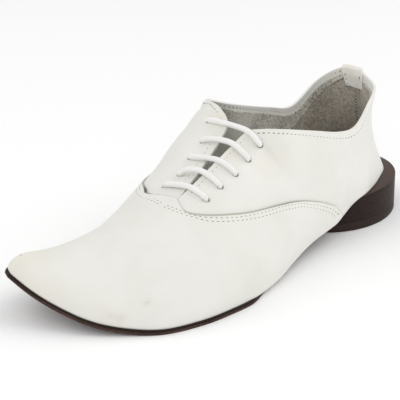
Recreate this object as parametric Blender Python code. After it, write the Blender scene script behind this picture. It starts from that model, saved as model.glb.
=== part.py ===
"""Low white leather shoe for the left foot, closed lacing, stacked round heel.

Frame: metres, +Z up, floor at z = 0. The origin is the middle of the heel's round
base on the floor, the toe points along -Y and the outer (little toe) side is +X.
"""
import bpy
import bmesh
import math
import numpy as np
from mathutils import Vector

MM = 0.001
GAP = 0.3

SOLE_THICK = 3.0
SOLE_PROUD = 2.0
SOLE_TUCK = 4.0
SOLE_TUCK_ROWS = (7.6, 9.2)
SOLE_ENDS = (0.12, 0.5)
TOE_SPRING = 26.5
TOE_BREAK = (8.0, -165.0)
TOE_AXIS = (-0.5, -0.866)
TOE_REACH = 93.0
TOE_CURL = 2.65

HEEL_HEIGHT = 24.2
HEEL_HALF_WIDTH = 36.9
HEEL_HALF_LENGTH = 42.8
TOP_PIECE_THICK = 5.5
HEEL_SEGMENTS = 24

WALL = 1.8
VAMP_STEP = 0.9
VAMP_FADE_ROW = 13.4
OVERHANG_ROWS = (10.5, 13.5)
OVERHANG_LIFT = 0.5
INSOLE_THICK = 2.0
INSOLE_CLEAR = 1.2
INSOLE_TUCK = 2.8
INSOLE_TUCK_ROWS = (9.0, 13.0)
INSOLE_ENDS = (1.0, 0.6)
PLATE_SHARES = (0.0, 0.07, 0.3, 0.7, 0.93, 1.0)
PLATE_STEPS_PER_ROW = 2

EYELET_DIAMETER = 3.0
EYELET_SEGMENTS = 10
EYELET_DEPTH = 12.0
LACE_DIAMETER = 3.6
LACE_CLEAR = 1.1
LACE_SEGMENTS = 10
LACE_SHARES = (0.0, 0.3, 0.6, 0.95)
LACE_TAUT_PASSES = 2

TAB_CLEAR = 0.55
TAB_THICK = 1.0
TAB_DROP = 13.0
TAB_ROWS_AHEAD = 0.45
TAB_HALF_ROWS = 0.42
TAB_COLUMNS = 5

# Height of the underside of the sole along the foot, from the ball to the seat.
WAIST = [
    # y, z
    (-135.0, 0.0),
    (-125.0, 0.5),
    (-112.0, 1.6),
    (-98.0, 3.6),
    (-84.0, 6.2),
    (-70.0, 9.2),
    (-56.0, 12.5),
    (-40.0, 16.5),
    (-24.0, 20.6),
    (-8.0, 23.6),
    (6.0, HEEL_HEIGHT),
    (60.0, HEEL_HEIGHT),
]

# Ribs of the upper, toe tip to heel back: foot of the rib on the sole edge, top of the
# rib on the ridge, throat edge or collar, then how far the rib leans at foot and top.
LATERAL = [
    # foot_x, foot_y, top_x, top_y, top_z, low_out, low_up, high_out, high_up
    (-29.0, -249.5, -31.0, -243.0, 37.0, 0.5, 3.0, 3.0, 1.0),
    (-14.0, -246.0, -29.5, -236.0, 37.0, 1.5, 6.0, 8.0, 1.0),
    (2.0, -239.0, -26.0, -225.0, 36.0, 2.5, 10.0, 14.0, 1.0),
    (18.0, -230.5, -21.0, -211.0, 36.4, 3.0, 14.0, 20.0, 0.5),
    (33.0, -217.0, -14.5, -195.0, 40.2, 4.0, 18.0, 25.0, 0.0),
    (47.0, -200.0, -7.0, -178.0, 46.0, 5.0, 22.0, 28.0, -0.5),
    (54.5, -176.0, 1.0, -163.0, 51.5, 6.0, 25.0, 30.0, -1.0),
    (56.5, -153.0, 7.0, -151.0, 56.5, 7.0, 27.0, 30.0, -1.0),
    (56.0, -134.0, 9.0, -137.0, 64.0, 7.0, 29.0, 28.0, -3.0),
    (52.5, -112.0, 10.0, -121.0, 72.5, 6.0, 30.0, 24.0, -6.0),
    (47.0, -92.0, 11.3, -108.0, 80.0, 5.0, 30.0, 20.0, -9.0),
    (43.5, -78.0, 13.5, -98.5, 86.0, 4.5, 28.0, 16.0, -12.0),
    (41.0, -66.0, 19.5, -92.5, 88.0, 4.0, 26.0, 12.0, -15.0),
    (40.0, -54.0, 26.5, -79.0, 86.0, 4.0, 24.0, 7.0, -18.0),
    (39.8, -39.2, 30.0, -55.0, 79.0, 4.0, 22.0, 4.0, -20.0),
    (36.3, -23.0, 30.5, -31.0, 71.3, 3.0, 18.0, 2.0, -20.0),
    (34.3, -5.0, 28.2, -12.8, 69.3, 1.0, 14.0, 1.0, -20.0),
    (25.6, 15.2, 22.5, 6.0, 77.5, -5.5, 12.0, -2.5, -22.0),
    (15.5, 30.5, 15.2, 20.2, 83.5, -4.5, 12.0, -6.5, -24.0),
    (0.0, 36.0, -2.8, 27.2, 88.0, -5.0, 12.0, 0.0, -25.0),
]
MEDIAL = [
    # foot_x, foot_y, top_x, top_y, top_z, low_out, low_up, high_out, high_up
    (-29.0, -249.5, -31.0, -243.0, 37.0, 0.5, 3.0, 3.0, 1.0),
    (-35.0, -246.0, -29.5, -236.0, 37.0, 1.5, 4.0, 3.0, 0.5),
    (-38.5, -237.0, -26.0, -225.0, 36.0, 2.0, 7.0, 4.0, 0.0),
    (-40.5, -224.0, -21.0, -211.0, 36.4, 2.0, 10.0, 6.0, -0.5),
    (-42.0, -205.0, -14.5, -195.0, 40.2, 2.0, 13.0, 10.0, -1.0),
    (-42.0, -186.0, -7.0, -178.0, 46.0, 3.0, 18.0, 17.0, -1.0),
    (-41.0, -168.0, 1.0, -163.0, 51.5, 6.0, 25.0, 30.0, 0.0),
    (-39.0, -151.0, 7.0, -151.0, 56.5, 12.0, 33.0, 43.0, 1.0),
    (-36.5, -135.0, 5.0, -136.0, 63.0, 18.0, 38.0, 48.0, 1.5),
    (-33.5, -118.0, 2.5, -121.0, 71.0, 22.5, 44.5, 49.0, 6.0),
    (-31.5, -102.0, 0.0, -107.0, 80.0, 27.5, 47.0, 49.0, 6.0),
    (-30.0, -90.0, -2.5, -98.5, 87.5, 29.0, 47.5, 46.0, 7.5),
    (-29.5, -80.0, -15.5, -92.5, 93.0, 23.0, 43.0, 33.0, -2.0),
    (-29.0, -68.0, -35.1, -83.5, 90.0, 15.0, 36.0, 14.5, -18.0),
    (-29.0, -52.0, -31.0, -62.0, 81.6, 7.5, 27.5, 3.0, -23.0),
    (-30.0, -32.0, -32.5, -30.0, 70.4, 5.0, 22.0, 2.0, -20.0),
    (-31.0, -10.0, -33.0, -8.0, 65.0, 3.0, 16.0, 1.0, -20.0),
    (-27.0, 14.5, -28.0, 10.5, 78.6, -1.0, 13.0, 0.5, -22.0),
    (-15.5, 30.5, -15.0, 20.5, 88.6, -4.5, 12.0, -2.5, -24.0),
    (0.0, 36.0, -2.8, 27.2, 88.0, -5.0, 12.0, 0.0, -25.0),
]
# Edge of the vamp where it laps over the quarters, as a share of the rib's length.
VAMP_EDGE = [
    # row, lateral, medial
    (7.0, 1.0, 1.0),
    (7.333, 0.73, 0.70),
    (7.667, 0.67, 0.62),
    (8.0, 0.63, 0.57),
    (9.0, 0.52, 0.48),
    (10.0, 0.435, 0.41),
    (11.0, 0.378, 0.36),
    (12.0, 0.341, 0.33),
    (13.0, 0.285, 0.285),
    (13.667, 0.175, 0.175),
    (14.333, 0.0, 0.0),
]

# The five pairs of eyelets, top to bottom.
EYELETS = [
    # lateral_row, lateral_share, medial_row, medial_share
    (11.16, 0.836, 10.55, 0.867),
    (9.95, 0.817, 9.56, 0.912),
    (9.06, 0.816, 8.76, 0.895),
    (8.34, 0.831, 8.01, 0.899),
    (7.64, 0.832, 7.33, 0.856),
]
SIDES = ("lateral", "medial")
RIBS = {"lateral": np.array(LATERAL), "medial": np.array(MEDIAL)}
LAST = len(LATERAL) - 1
SLIT_ROW = 7
QUARTER_FOOT_ROW = VAMP_EDGE[-1][0]
COLUMNS_PER_ROW = 3
COLUMNS = [k / COLUMNS_PER_ROW for k in range(LAST * COLUMNS_PER_ROW + 1)]
LOW_STEPS = 9
HIGH_STEPS = 7
STEPS = LOW_STEPS + HIGH_STEPS
SAME = 1e-6

UP = np.array([0.0, 0.0, 1.0])
TOE_FACING = np.array([-0.2, -1.0])
HEEL_FACING = np.array([0.0, 1.0])
PLAN_REACH = 0.05
FACE_REACH = 0.02


def smooth(lo, hi, v):
    w = min(max((v - lo) / (hi - lo), 0.0), 1.0)
    return w * w * (3.0 - 2.0 * w)


def catmull(rows, u):
    """Smooth value of every column of a table at row position u."""
    n = len(rows)
    i = int(min(max(math.floor(u), 0), n - 2))
    w = u - i
    p1 = rows[i]
    p2 = rows[i + 1]
    p0 = rows[i - 1] if i > 0 else 2 * p1 - p2
    p3 = rows[i + 2] if i + 2 < n else 2 * p2 - p1
    a = 2 * p1
    b = p2 - p0
    c = 2 * p0 - 5 * p1 + 4 * p2 - p3
    d = 3 * p1 - p0 - 3 * p2 + p3
    return 0.5 * (a + b * w + c * w * w + d * w ** 3)


def under(x, y):
    """Height of the underside of the sole: toe spring, flat ball, waist and heel seat."""
    if y < WAIST[0][0]:
        ahead = (x - TOE_BREAK[0]) * TOE_AXIS[0] + (y - TOE_BREAK[1]) * TOE_AXIS[1]
        return TOE_SPRING * (max(ahead, 0.0) / TOE_REACH) ** TOE_CURL
    rows = np.array(WAIST)
    i = int(np.searchsorted(rows[:, 0], y) - 1)
    i = min(max(i, 0), len(rows) - 2)
    w = (y - rows[i, 0]) / (rows[i + 1, 0] - rows[i, 0])
    return float(catmull(rows, i + w)[1]) if i < len(rows) - 2 else HEEL_HEIGHT


def outward(side, u):
    """Plan direction that points out of the shoe at row position u."""
    rows = RIBS[side]
    ahead = catmull(rows, max(u - PLAN_REACH, 0.0))[:2]
    behind = catmull(rows, min(u + PLAN_REACH, LAST))[:2]
    d = behind - ahead
    n = np.array([d[1], -d[0]]) if side == "lateral" else np.array([-d[1], d[0]])
    n = n / np.linalg.norm(n)
    toe = 1.0 - smooth(0.0, 1.0, u)
    heel = smooth(LAST - 1.0, LAST, u)
    n = n * (1.0 - toe - heel) + TOE_FACING * toe + HEEL_FACING * heel
    n = n / np.linalg.norm(n)
    return np.array([n[0], n[1], 0.0])


def foot_lift(u):
    """The upper stands on the sole at the forefoot and hangs over its edge behind."""
    return SOLE_THICK + GAP - (SOLE_THICK - OVERHANG_LIFT) * smooth(*OVERHANG_ROWS, u)


def rib(side, u):
    """Four Bezier points of the rib at row position u."""
    fx, fy, tx, ty, tz, lo, lu, ho, hu = catmull(RIBS[side], u)
    out = outward(side, u)
    foot = np.array([fx, fy, under(fx, fy) + foot_lift(u)])
    top = np.array([tx, ty, tz])
    return foot, foot + out * lo + UP * lu, top + out * ho + UP * hu, top


def skin(side, u, t):
    """Point of the upper's outer face."""
    a, b, c, d = rib(side, u)
    s = 1.0 - t
    return a * s ** 3 + b * 3 * s * s * t + c * 3 * s * t * t + d * t ** 3


def skin_normal(side, u, t):
    e = FACE_REACH
    du = skin(side, min(u + e, LAST), t) - skin(side, max(u - e, 0.0), t)
    dt = skin(side, u, min(t + e, 1.0)) - skin(side, u, max(t - e, 0.0))
    n = np.cross(du, dt) if side == "lateral" else np.cross(dt, du)
    return n / np.linalg.norm(n)


def edge_share(side, u):
    rows = np.array(VAMP_EDGE)
    return float(np.interp(u, rows[:, 0], rows[:, 1 if side == "lateral" else 2]))


def material(name, rgb, rough):
    m = bpy.data.materials.new(name)
    m.use_nodes = True
    b = m.node_tree.nodes["Principled BSDF"]
    b.inputs["Base Color"].default_value = (rgb[0], rgb[1], rgb[2], 1.0)
    b.inputs["Roughness"].default_value = rough
    return m


def add_object(name, verts, faces, mat):
    """One closed solid from points in millimetres."""
    bm = bmesh.new()
    made = [bm.verts.new(Vector(v) * MM) for v in verts]
    for f in faces:
        bm.faces.new([made[i] for i in f])
    bmesh.ops.recalc_face_normals(bm, faces=bm.faces[:])
    mesh = bpy.data.meshes.new(name)
    bm.to_mesh(mesh)
    bm.free()
    obj = bpy.data.objects.new(name, mesh)
    bpy.context.collection.objects.link(obj)
    obj.data.materials.append(mat)
    return obj


def drop_repeats(ids):
    kept = []
    for i in ids:
        if i not in kept:
            kept.append(i)
    return kept


def share_at(side, u, j):
    edge = edge_share(side, u)
    if j <= LOW_STEPS:
        return edge * j / LOW_STEPS
    return edge + (1.0 - edge) * (j - LOW_STEPS) / HIGH_STEPS


def grid_key(side, k, j):
    """One key for every grid point that falls on the same place."""
    u = COLUMNS[k]
    if u <= SLIT_ROW and j > LOW_STEPS:
        j = LOW_STEPS
    if u >= QUARTER_FOOT_ROW - SAME and j < LOW_STEPS:
        j = LOW_STEPS
    on_ridge = u <= SLIT_ROW and j == LOW_STEPS
    if k in (0, len(COLUMNS) - 1) or on_ridge:
        side = "lateral"
    return side, k, j


def base_grid():
    """Points, unit normals and faces of the upper's plain outer face."""
    index = {}
    points = []
    faces = []
    for side in SIDES:
        for k in range(len(COLUMNS)):
            for j in range(STEPS + 1):
                key = grid_key(side, k, j)
                if key not in index:
                    index[key] = len(points)
                    points.append(skin(key[0], COLUMNS[k], share_at(key[0], COLUMNS[k], key[2])))
    for side in SIDES:
        for k in range(len(COLUMNS) - 1):
            for j in range(STEPS):
                quad = [(k, j), (k + 1, j), (k + 1, j + 1), (k, j + 1)]
                ids = drop_repeats([index[grid_key(side, a, b)] for a, b in quad])
                if len(ids) < 3:
                    continue
                if side == "medial":
                    ids.reverse()
                faces.append((ids, j < LOW_STEPS))
    points = np.array(points)
    normals = np.zeros_like(points)
    for ids, _ in faces:
        for a, b, c in ((0, i, i + 1) for i in range(1, len(ids) - 1)):
            n = np.cross(points[ids[b]] - points[ids[a]], points[ids[c]] - points[ids[a]])
            for i in (ids[a], ids[b], ids[c]):
                normals[i] += n
    normals /= np.linalg.norm(normals, axis=1)[:, None]
    return index, points, normals, faces


def build_upper(mat):
    index, points, normals, faces = base_grid()
    low = {}
    high = {}
    verts = []

    def shifted(key, rise):
        """Grid point moved along its normal; the foot of the wall stays on the sole."""
        side, k, j = key
        i = index[key]
        p = points[i] + normals[i] * rise
        if share_at(side, COLUMNS[k], j) < SAME:
            flat = normals[i] * (1.0, 1.0, 0.0)
            p = points[i] + flat / np.linalg.norm(flat) * rise
            p[2] = under(p[0], p[1]) + foot_lift(COLUMNS[k])
        return p

    inner = {}
    for key, i in index.items():
        u = COLUMNS[key[1]]
        j = key[2]
        if j <= LOW_STEPS and u < QUARTER_FOOT_ROW - SAME:
            low[i] = len(verts)
            lap = 1.0 - smooth(VAMP_FADE_ROW, QUARTER_FOOT_ROW, u)
            verts.append(shifted(key, VAMP_STEP * lap))
        if j > LOW_STEPS or (j == LOW_STEPS and u >= SLIT_ROW):
            high[i] = len(verts)
            verts.append(points[i])
        if i not in low:
            low[i] = high[i]
        inner[i] = len(verts)
        verts.append(shifted(key, -WALL))
    out = []
    for ids, is_low in faces:
        out.append([(low if is_low else high)[i] for i in ids])
        out.append([inner[i] for i in reversed(ids)])
    for side in SIDES:
        for k in range(len(COLUMNS) - 1):
            if COLUMNS[k] < SLIT_ROW or COLUMNS[k] >= QUARTER_FOOT_ROW - SAME:
                continue
            a = index[grid_key(side, k, LOW_STEPS)]
            b = index[grid_key(side, k + 1, LOW_STEPS)]
            out.append(drop_repeats([low[a], low[b], high[b], high[a]]))
    n = len(COLUMNS)
    slit = SLIT_ROW * COLUMNS_PER_ROW
    foot = [("lateral", k, 0) for k in range(n)] + [("medial", k, 0) for k in range(n - 2, 0, -1)]
    collar = [("lateral", k, STEPS) for k in range(slit, n)]
    collar += [("medial", k, STEPS) for k in range(n - 2, slit, -1)]
    for loop, face_side in ((foot, low), (collar, high)):
        ids = [index[grid_key(*key)] for key in loop]
        for a, b in zip(ids, ids[1:] + ids[:1]):
            out.append([face_side[a], face_side[b], inner[b], inner[a]])
    obj = add_object("upper", verts, out, mat)
    for row in EYELETS:
        for side, u, t in zip(SIDES, row[0::2], row[1::2]):
            punch(obj, skin(side, u, t), skin_normal(side, u, t))
    return obj


def punch(obj, centre, axis):
    """Round hole straight through the wall."""
    bm = bmesh.new()
    radius = EYELET_DIAMETER / 2 * MM
    bmesh.ops.create_cone(bm, cap_ends=True, segments=EYELET_SEGMENTS, radius1=radius,
                          radius2=radius, depth=EYELET_DEPTH * MM)
    turn = Vector(UP).rotation_difference(Vector(axis)).to_matrix().to_4x4()
    bm.transform(turn)
    bmesh.ops.translate(bm, verts=bm.verts[:], vec=Vector(centre) * MM)
    mesh = bpy.data.meshes.new("punch")
    bm.to_mesh(mesh)
    bm.free()
    tool = bpy.data.objects.new("punch", mesh)
    bpy.context.collection.objects.link(tool)
    mod = obj.modifiers.new("eyelet", "BOOLEAN")
    mod.operation = "DIFFERENCE"
    mod.solver = "EXACT"
    mod.object = tool
    bpy.context.view_layer.objects.active = obj
    bpy.ops.object.modifier_apply(modifier=mod.name)
    bpy.data.objects.remove(tool, do_unlink=True)
    bpy.data.meshes.remove(mesh)


def plate(name, ends, inset, z_low, z_high, mat):
    """Flat-edged plate that follows the underside from side to side."""
    n = LAST * PLATE_STEPS_PER_ROW
    columns = [ends[0] + (LAST - ends[0] - ends[1]) * k / n for k in range(n + 1)]
    verts = []
    for u in columns:
        feet = []
        for side in SIDES:
            foot = rib(side, u)[0] - outward(side, u) * inset(u)
            feet.append(foot[:2])
        for w in PLATE_SHARES:
            x, y = feet[0] * (1.0 - w) + feet[1] * w
            for z in (z_low, z_high):
                verts.append((x, y, under(x, y) + z))
    m = len(PLATE_SHARES)

    def at(c, w, top):
        return (c * m + w) * 2 + top

    faces = []
    for c in range(len(columns) - 1):
        for w in range(m - 1):
            for top in (0, 1):
                faces.append([at(c, w, top), at(c + 1, w, top), at(c + 1, w + 1, top), at(c, w + 1, top)])
        for w in (0, m - 1):
            faces.append([at(c, w, 0), at(c + 1, w, 0), at(c + 1, w, 1), at(c, w, 1)])
    for c in (0, len(columns) - 1):
        for w in range(m - 1):
            faces.append([at(c, w, 0), at(c, w + 1, 0), at(c, w + 1, 1), at(c, w, 1)])
    return add_object(name, verts, faces, mat)


def oval(name, z_low, z_of, mat):
    """Upright oval block of the heel with its top cut to the sole."""
    n = HEEL_SEGMENTS
    pairs = []
    for i in range(n + 1):
        a = math.pi * i / n
        y = HEEL_HALF_LENGTH * math.cos(a)
        x = HEEL_HALF_WIDTH * math.sin(a)
        pairs.append((x, y))
    verts = []
    ring = pairs + [(-x, y) for x, y in reversed(pairs[1:-1])]
    for x, y in ring:
        verts.append((x, y, z_low))
    for x, y in ring:
        verts.append((x, y, z_of(y)))
    m = len(ring)
    faces = [list(range(m))]
    for i in range(m):
        faces.append([i, (i + 1) % m, m + (i + 1) % m, m + i])
    for i in range(n):
        left = [m + (m - i) % m, m + (m - i - 1) % m]
        right = [m + i, m + i + 1]
        faces.append(drop_repeats([right[0], right[1], left[1], left[0]]))
    return add_object(name, verts, faces, mat)


def cord(name, path, mat):
    """Round cord along a path with flat ends."""
    radius = LACE_DIAMETER / 2
    sides = LACE_SEGMENTS
    path = [Vector(p) for p in path]
    verts = []
    normal = None
    for i, p in enumerate(path):
        d = (path[min(i + 1, len(path) - 1)] - path[max(i - 1, 0)]).normalized()
        if normal is None:
            normal = d.cross(Vector(UP)).normalized()
        normal = (normal - d * normal.dot(d)).normalized()
        other = d.cross(normal)
        for s in range(sides):
            a = 2 * math.pi * s / sides
            verts.append(p + (normal * math.cos(a) + other * math.sin(a)) * radius)
    n = len(path)
    faces = [list(range(sides)), [(n - 1) * sides + s for s in range(sides)]]
    for i in range(n - 1):
        for s in range(sides):
            t = (s + 1) % sides
            faces.append([i * sides + s, i * sides + t, (i + 1) * sides + t, (i + 1) * sides + s])
    return add_object(name, verts, faces, mat)


def lace_path(row):
    """Over the upper from one eyelet to the other, lifted clear of both quarters."""
    lift = LACE_DIAMETER / 2 + LACE_CLEAR
    path = []
    for side, u, t in zip(SIDES, row[0::2], row[1::2]):
        half = []
        for w in LACE_SHARES:
            v = t + (1.0 - t) * w
            half.append(skin(side, u, v) + skin_normal(side, u, v) * lift)
        path.append(half)
    whole = path[0] + path[1][::-1]
    for _ in range(LACE_TAUT_PASSES):
        for i in range(1, len(whole) - 1):
            mean = (whole[i - 1] + whole[i + 1]) / 2
            if mean[2] > whole[i][2]:
                whole[i] = mean
    return whole


def build_tab(mat):
    """Folded pull tab that straddles the collar's rim at the back."""
    front = LAST - TAB_ROWS_AHEAD - TAB_HALF_ROWS
    near = TAB_CLEAR
    far = TAB_CLEAR + TAB_THICK
    profile = []
    for c in range(TAB_COLUMNS):
        u = front + 2 * TAB_HALF_ROWS * c / (TAB_COLUMNS - 1)
        top = skin("medial", u, 1.0)
        n = skin_normal("medial", u, 1.0)
        down = []
        for drop in (TAB_DROP, TAB_DROP / 2, 0.0):
            t = 1.0 - drop / np.linalg.norm(top - skin("medial", u, 0.0))
            down.append((skin("medial", u, t), skin_normal("medial", u, t)))
        lines = []
        for rise in (near, far):
            line = [p + m * rise for p, m in down]
            line.append(top + n * rise + UP * rise)
            line.append(top - n * (WALL + rise) + UP * rise)
            line += [p - m * (WALL + rise) for p, m in reversed(down)]
            lines.append(line)
        profile.append(lines)
    m = len(profile[0][0])
    verts = [p for lines in profile for line in lines for p in line]
    faces = []

    def at(c, i, outer):
        return c * 2 * m + outer * m + i

    for c in range(TAB_COLUMNS - 1):
        for i in range(m - 1):
            for o in (0, 1):
                faces.append([at(c, i, o), at(c + 1, i, o), at(c + 1, i + 1, o), at(c, i + 1, o)])
        for i in (0, m - 1):
            faces.append([at(c, i, 0), at(c + 1, i, 0), at(c + 1, i, 1), at(c, i, 1)])
    for c in (0, TAB_COLUMNS - 1):
        for i in range(m - 1):
            faces.append([at(c, i, 0), at(c, i + 1, 0), at(c, i + 1, 1), at(c, i, 1)])
    return add_object("heel_tab", verts, faces, mat)


def sole_inset(u):
    return -SOLE_PROUD + (SOLE_PROUD + SOLE_TUCK) * smooth(*SOLE_TUCK_ROWS, u)


def insole_inset(u):
    return WALL + INSOLE_CLEAR + INSOLE_TUCK * smooth(*INSOLE_TUCK_ROWS, u)


def main():
    for obj in list(bpy.data.objects):
        bpy.data.objects.remove(obj, do_unlink=True)

    build_upper(material("white_leather", (0.79, 0.78, 0.74), 0.5))
    plate("outsole", SOLE_ENDS, sole_inset, 0.0, SOLE_THICK,
          material("sole_leather", (0.07, 0.04, 0.035), 0.55))
    plate("insole", INSOLE_ENDS, insole_inset, SOLE_THICK + GAP, SOLE_THICK + GAP + INSOLE_THICK,
          material("insole_leather", (0.10, 0.075, 0.063), 0.7))
    oval("heel_stack", TOP_PIECE_THICK + GAP, lambda y: under(0.0, y) - GAP,
         material("heel_leather", (0.05, 0.028, 0.024), 0.5))
    oval("heel_top_piece", 0.0, lambda y: TOP_PIECE_THICK,
         material("heel_rubber", (0.03, 0.02, 0.018), 0.6))
    build_tab(material("tab_leather", (0.76, 0.75, 0.70), 0.5))
    lace = material("lace_cotton", (0.90, 0.89, 0.88), 0.8)
    for i, row in enumerate(EYELETS):
        cord(f"lace_bar_{i + 1}", lace_path(row), lace.copy())


main()
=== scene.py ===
"""White leather shoe for the left foot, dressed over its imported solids.

Metres, +Z up, the toe along -Y and the outer side +X. Sizes below are in millimetres.
"""
import bpy
import bmesh
import math
import numpy as np
from mathutils import Matrix, Vector


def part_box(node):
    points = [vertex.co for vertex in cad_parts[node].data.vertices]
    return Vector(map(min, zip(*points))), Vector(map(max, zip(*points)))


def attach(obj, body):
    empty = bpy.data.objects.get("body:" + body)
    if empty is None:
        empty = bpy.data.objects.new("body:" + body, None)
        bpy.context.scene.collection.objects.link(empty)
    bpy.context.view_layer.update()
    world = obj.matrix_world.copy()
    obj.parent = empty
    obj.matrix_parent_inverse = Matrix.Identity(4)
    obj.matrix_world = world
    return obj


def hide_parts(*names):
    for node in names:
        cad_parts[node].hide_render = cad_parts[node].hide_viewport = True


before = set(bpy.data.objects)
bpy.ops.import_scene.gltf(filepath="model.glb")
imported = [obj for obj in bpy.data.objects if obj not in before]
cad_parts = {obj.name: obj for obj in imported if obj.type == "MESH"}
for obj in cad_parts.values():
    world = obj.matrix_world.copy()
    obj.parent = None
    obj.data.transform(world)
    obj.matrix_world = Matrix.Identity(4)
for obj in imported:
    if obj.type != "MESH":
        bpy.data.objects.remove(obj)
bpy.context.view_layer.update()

# Insole: a board of dark brown leather, cut to the bottom of the last and slipped inside.
# Every panel of the shoe is drawn over the same last, so its ribs are kept here: each rib
# runs from the edge of the sole up to the ridge, the throat edge or the collar.
MM = 0.001
SIDES = ("lateral", "medial")
SLIT_ROW = 7
GAP = 0.3
SOLE_THICK = 3.0
HEEL_HEIGHT = 24.2
TOE_SPRING = 26.5
TOE_BREAK = (8.0, -165.0)
TOE_AXIS = (-0.5, -0.866)
TOE_REACH = 93.0
TOE_CURL = 2.65
WALL = 1.8
HANG = 0.5
HANG_ROWS = (10.5, 13.5)
TOE_OUT = (-0.2, -1.0, 0.0)
HEEL_OUT = (0.0, 1.0, 0.0)
ROW_REACH = 0.05
UP = np.array([0.0, 0.0, 1.0])
WAIST = np.array([
    # y, height of the underside
    (-135.0, 0.0),
    (-125.0, 0.5),
    (-112.0, 1.6),
    (-98.0, 3.6),
    (-84.0, 6.2),
    (-70.0, 9.2),
    (-56.0, 12.5),
    (-40.0, 16.5),
    (-24.0, 20.6),
    (-8.0, 23.6),
    (6.0, HEEL_HEIGHT),
    (60.0, HEEL_HEIGHT),
])
RIBS = {
    "lateral": np.array([
        # foot_x, foot_y, top_x, top_y, top_z, low_out, low_up, high_out, high_up
        (-29.0, -249.5, -31.0, -243.0, 37.0, 0.5, 3.0, 3.0, 1.0),
        (-14.0, -246.0, -29.5, -236.0, 37.0, 1.5, 6.0, 8.0, 1.0),
        (2.0, -239.0, -26.0, -225.0, 36.0, 2.5, 10.0, 14.0, 1.0),
        (18.0, -230.5, -21.0, -211.0, 36.4, 3.0, 14.0, 20.0, 0.5),
        (33.0, -217.0, -14.5, -195.0, 40.2, 4.0, 18.0, 25.0, 0.0),
        (47.0, -200.0, -7.0, -178.0, 46.0, 5.0, 22.0, 28.0, -0.5),
        (54.5, -176.0, 1.0, -163.0, 51.5, 6.0, 25.0, 30.0, -1.0),
        (56.5, -153.0, 7.0, -151.0, 56.5, 7.0, 27.0, 30.0, -1.0),
        (56.0, -134.0, 9.0, -137.0, 64.0, 7.0, 29.0, 28.0, -3.0),
        (52.5, -112.0, 10.0, -121.0, 72.5, 6.0, 30.0, 24.0, -6.0),
        (47.0, -92.0, 11.3, -108.0, 80.0, 5.0, 30.0, 20.0, -9.0),
        (43.5, -78.0, 13.5, -98.5, 86.0, 4.5, 28.0, 16.0, -12.0),
        (41.0, -66.0, 19.5, -92.5, 88.0, 4.0, 26.0, 12.0, -15.0),
        (40.0, -54.0, 26.5, -79.0, 86.0, 4.0, 24.0, 7.0, -18.0),
        (39.8, -39.2, 30.0, -55.0, 79.0, 4.0, 22.0, 4.0, -20.0),
        (36.3, -23.0, 30.5, -31.0, 71.3, 3.0, 18.0, 2.0, -20.0),
        (34.3, -5.0, 28.2, -12.8, 69.3, 1.0, 14.0, 1.0, -20.0),
        (25.6, 15.2, 22.5, 6.0, 77.5, -5.5, 12.0, -2.5, -22.0),
        (15.5, 30.5, 15.2, 20.2, 83.5, -4.5, 12.0, -6.5, -24.0),
        (0.0, 36.0, -2.8, 27.2, 88.0, -5.0, 12.0, 0.0, -25.0),
    ]),
    "medial": np.array([
        # foot_x, foot_y, top_x, top_y, top_z, low_out, low_up, high_out, high_up
        (-29.0, -249.5, -31.0, -243.0, 37.0, 0.5, 3.0, 3.0, 1.0),
        (-35.0, -246.0, -29.5, -236.0, 37.0, 1.5, 4.0, 3.0, 0.5),
        (-38.5, -237.0, -26.0, -225.0, 36.0, 2.0, 7.0, 4.0, 0.0),
        (-40.5, -224.0, -21.0, -211.0, 36.4, 2.0, 10.0, 6.0, -0.5),
        (-42.0, -205.0, -14.5, -195.0, 40.2, 2.0, 13.0, 10.0, -1.0),
        (-42.0, -186.0, -7.0, -178.0, 46.0, 3.0, 18.0, 17.0, -1.0),
        (-41.0, -168.0, 1.0, -163.0, 51.5, 6.0, 25.0, 30.0, 0.0),
        (-39.0, -151.0, 7.0, -151.0, 56.5, 12.0, 33.0, 43.0, 1.0),
        (-36.5, -135.0, 5.0, -136.0, 63.0, 18.0, 38.0, 48.0, 1.5),
        (-33.5, -118.0, 2.5, -121.0, 71.0, 22.5, 44.5, 49.0, 6.0),
        (-31.5, -102.0, 0.0, -107.0, 80.0, 27.5, 47.0, 49.0, 6.0),
        (-30.0, -90.0, -2.5, -98.5, 87.5, 29.0, 47.5, 46.0, 7.5),
        (-29.5, -80.0, -15.5, -92.5, 93.0, 23.0, 43.0, 33.0, -2.0),
        (-29.0, -68.0, -35.1, -83.5, 90.0, 15.0, 36.0, 14.5, -18.0),
        (-29.0, -52.0, -31.0, -62.0, 81.6, 7.5, 27.5, 3.0, -23.0),
        (-30.0, -32.0, -32.5, -30.0, 70.4, 5.0, 22.0, 2.0, -20.0),
        (-31.0, -10.0, -33.0, -8.0, 65.0, 3.0, 16.0, 1.0, -20.0),
        (-27.0, 14.5, -28.0, 10.5, 78.6, -1.0, 13.0, 0.5, -22.0),
        (-15.5, 30.5, -15.0, 20.5, 88.6, -4.5, 12.0, -2.5, -24.0),
        (0.0, 36.0, -2.8, 27.2, 88.0, -5.0, 12.0, 0.0, -25.0),
    ]),
}
LAST_ROW = len(RIBS["lateral"]) - 1
INSOLE_THICK = 2.0
INSOLE_ROWS = (1.0, 18.4)
INSOLE_GRID = (110, 20)
INSOLE_EDGE = 0.5
INSOLE_CLEAR = 1.2
INSOLE_TUCK = 2.8
INSOLE_TUCK_ROWS = (9.0, 13.0)
PLATE_CROWD = 1.5
INSOLE_BROWN = "#54443D"
INSOLE_WORN = "#6B5A50"
WEAR_MM = 28.0
PORE_MM = 1.1
PORE_DEPTH = 0.15


def smooth(low, high, v):
    w = np.clip((v - low) / (high - low), 0.0, 1.0)
    return w * w * (3.0 - 2.0 * w)


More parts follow.
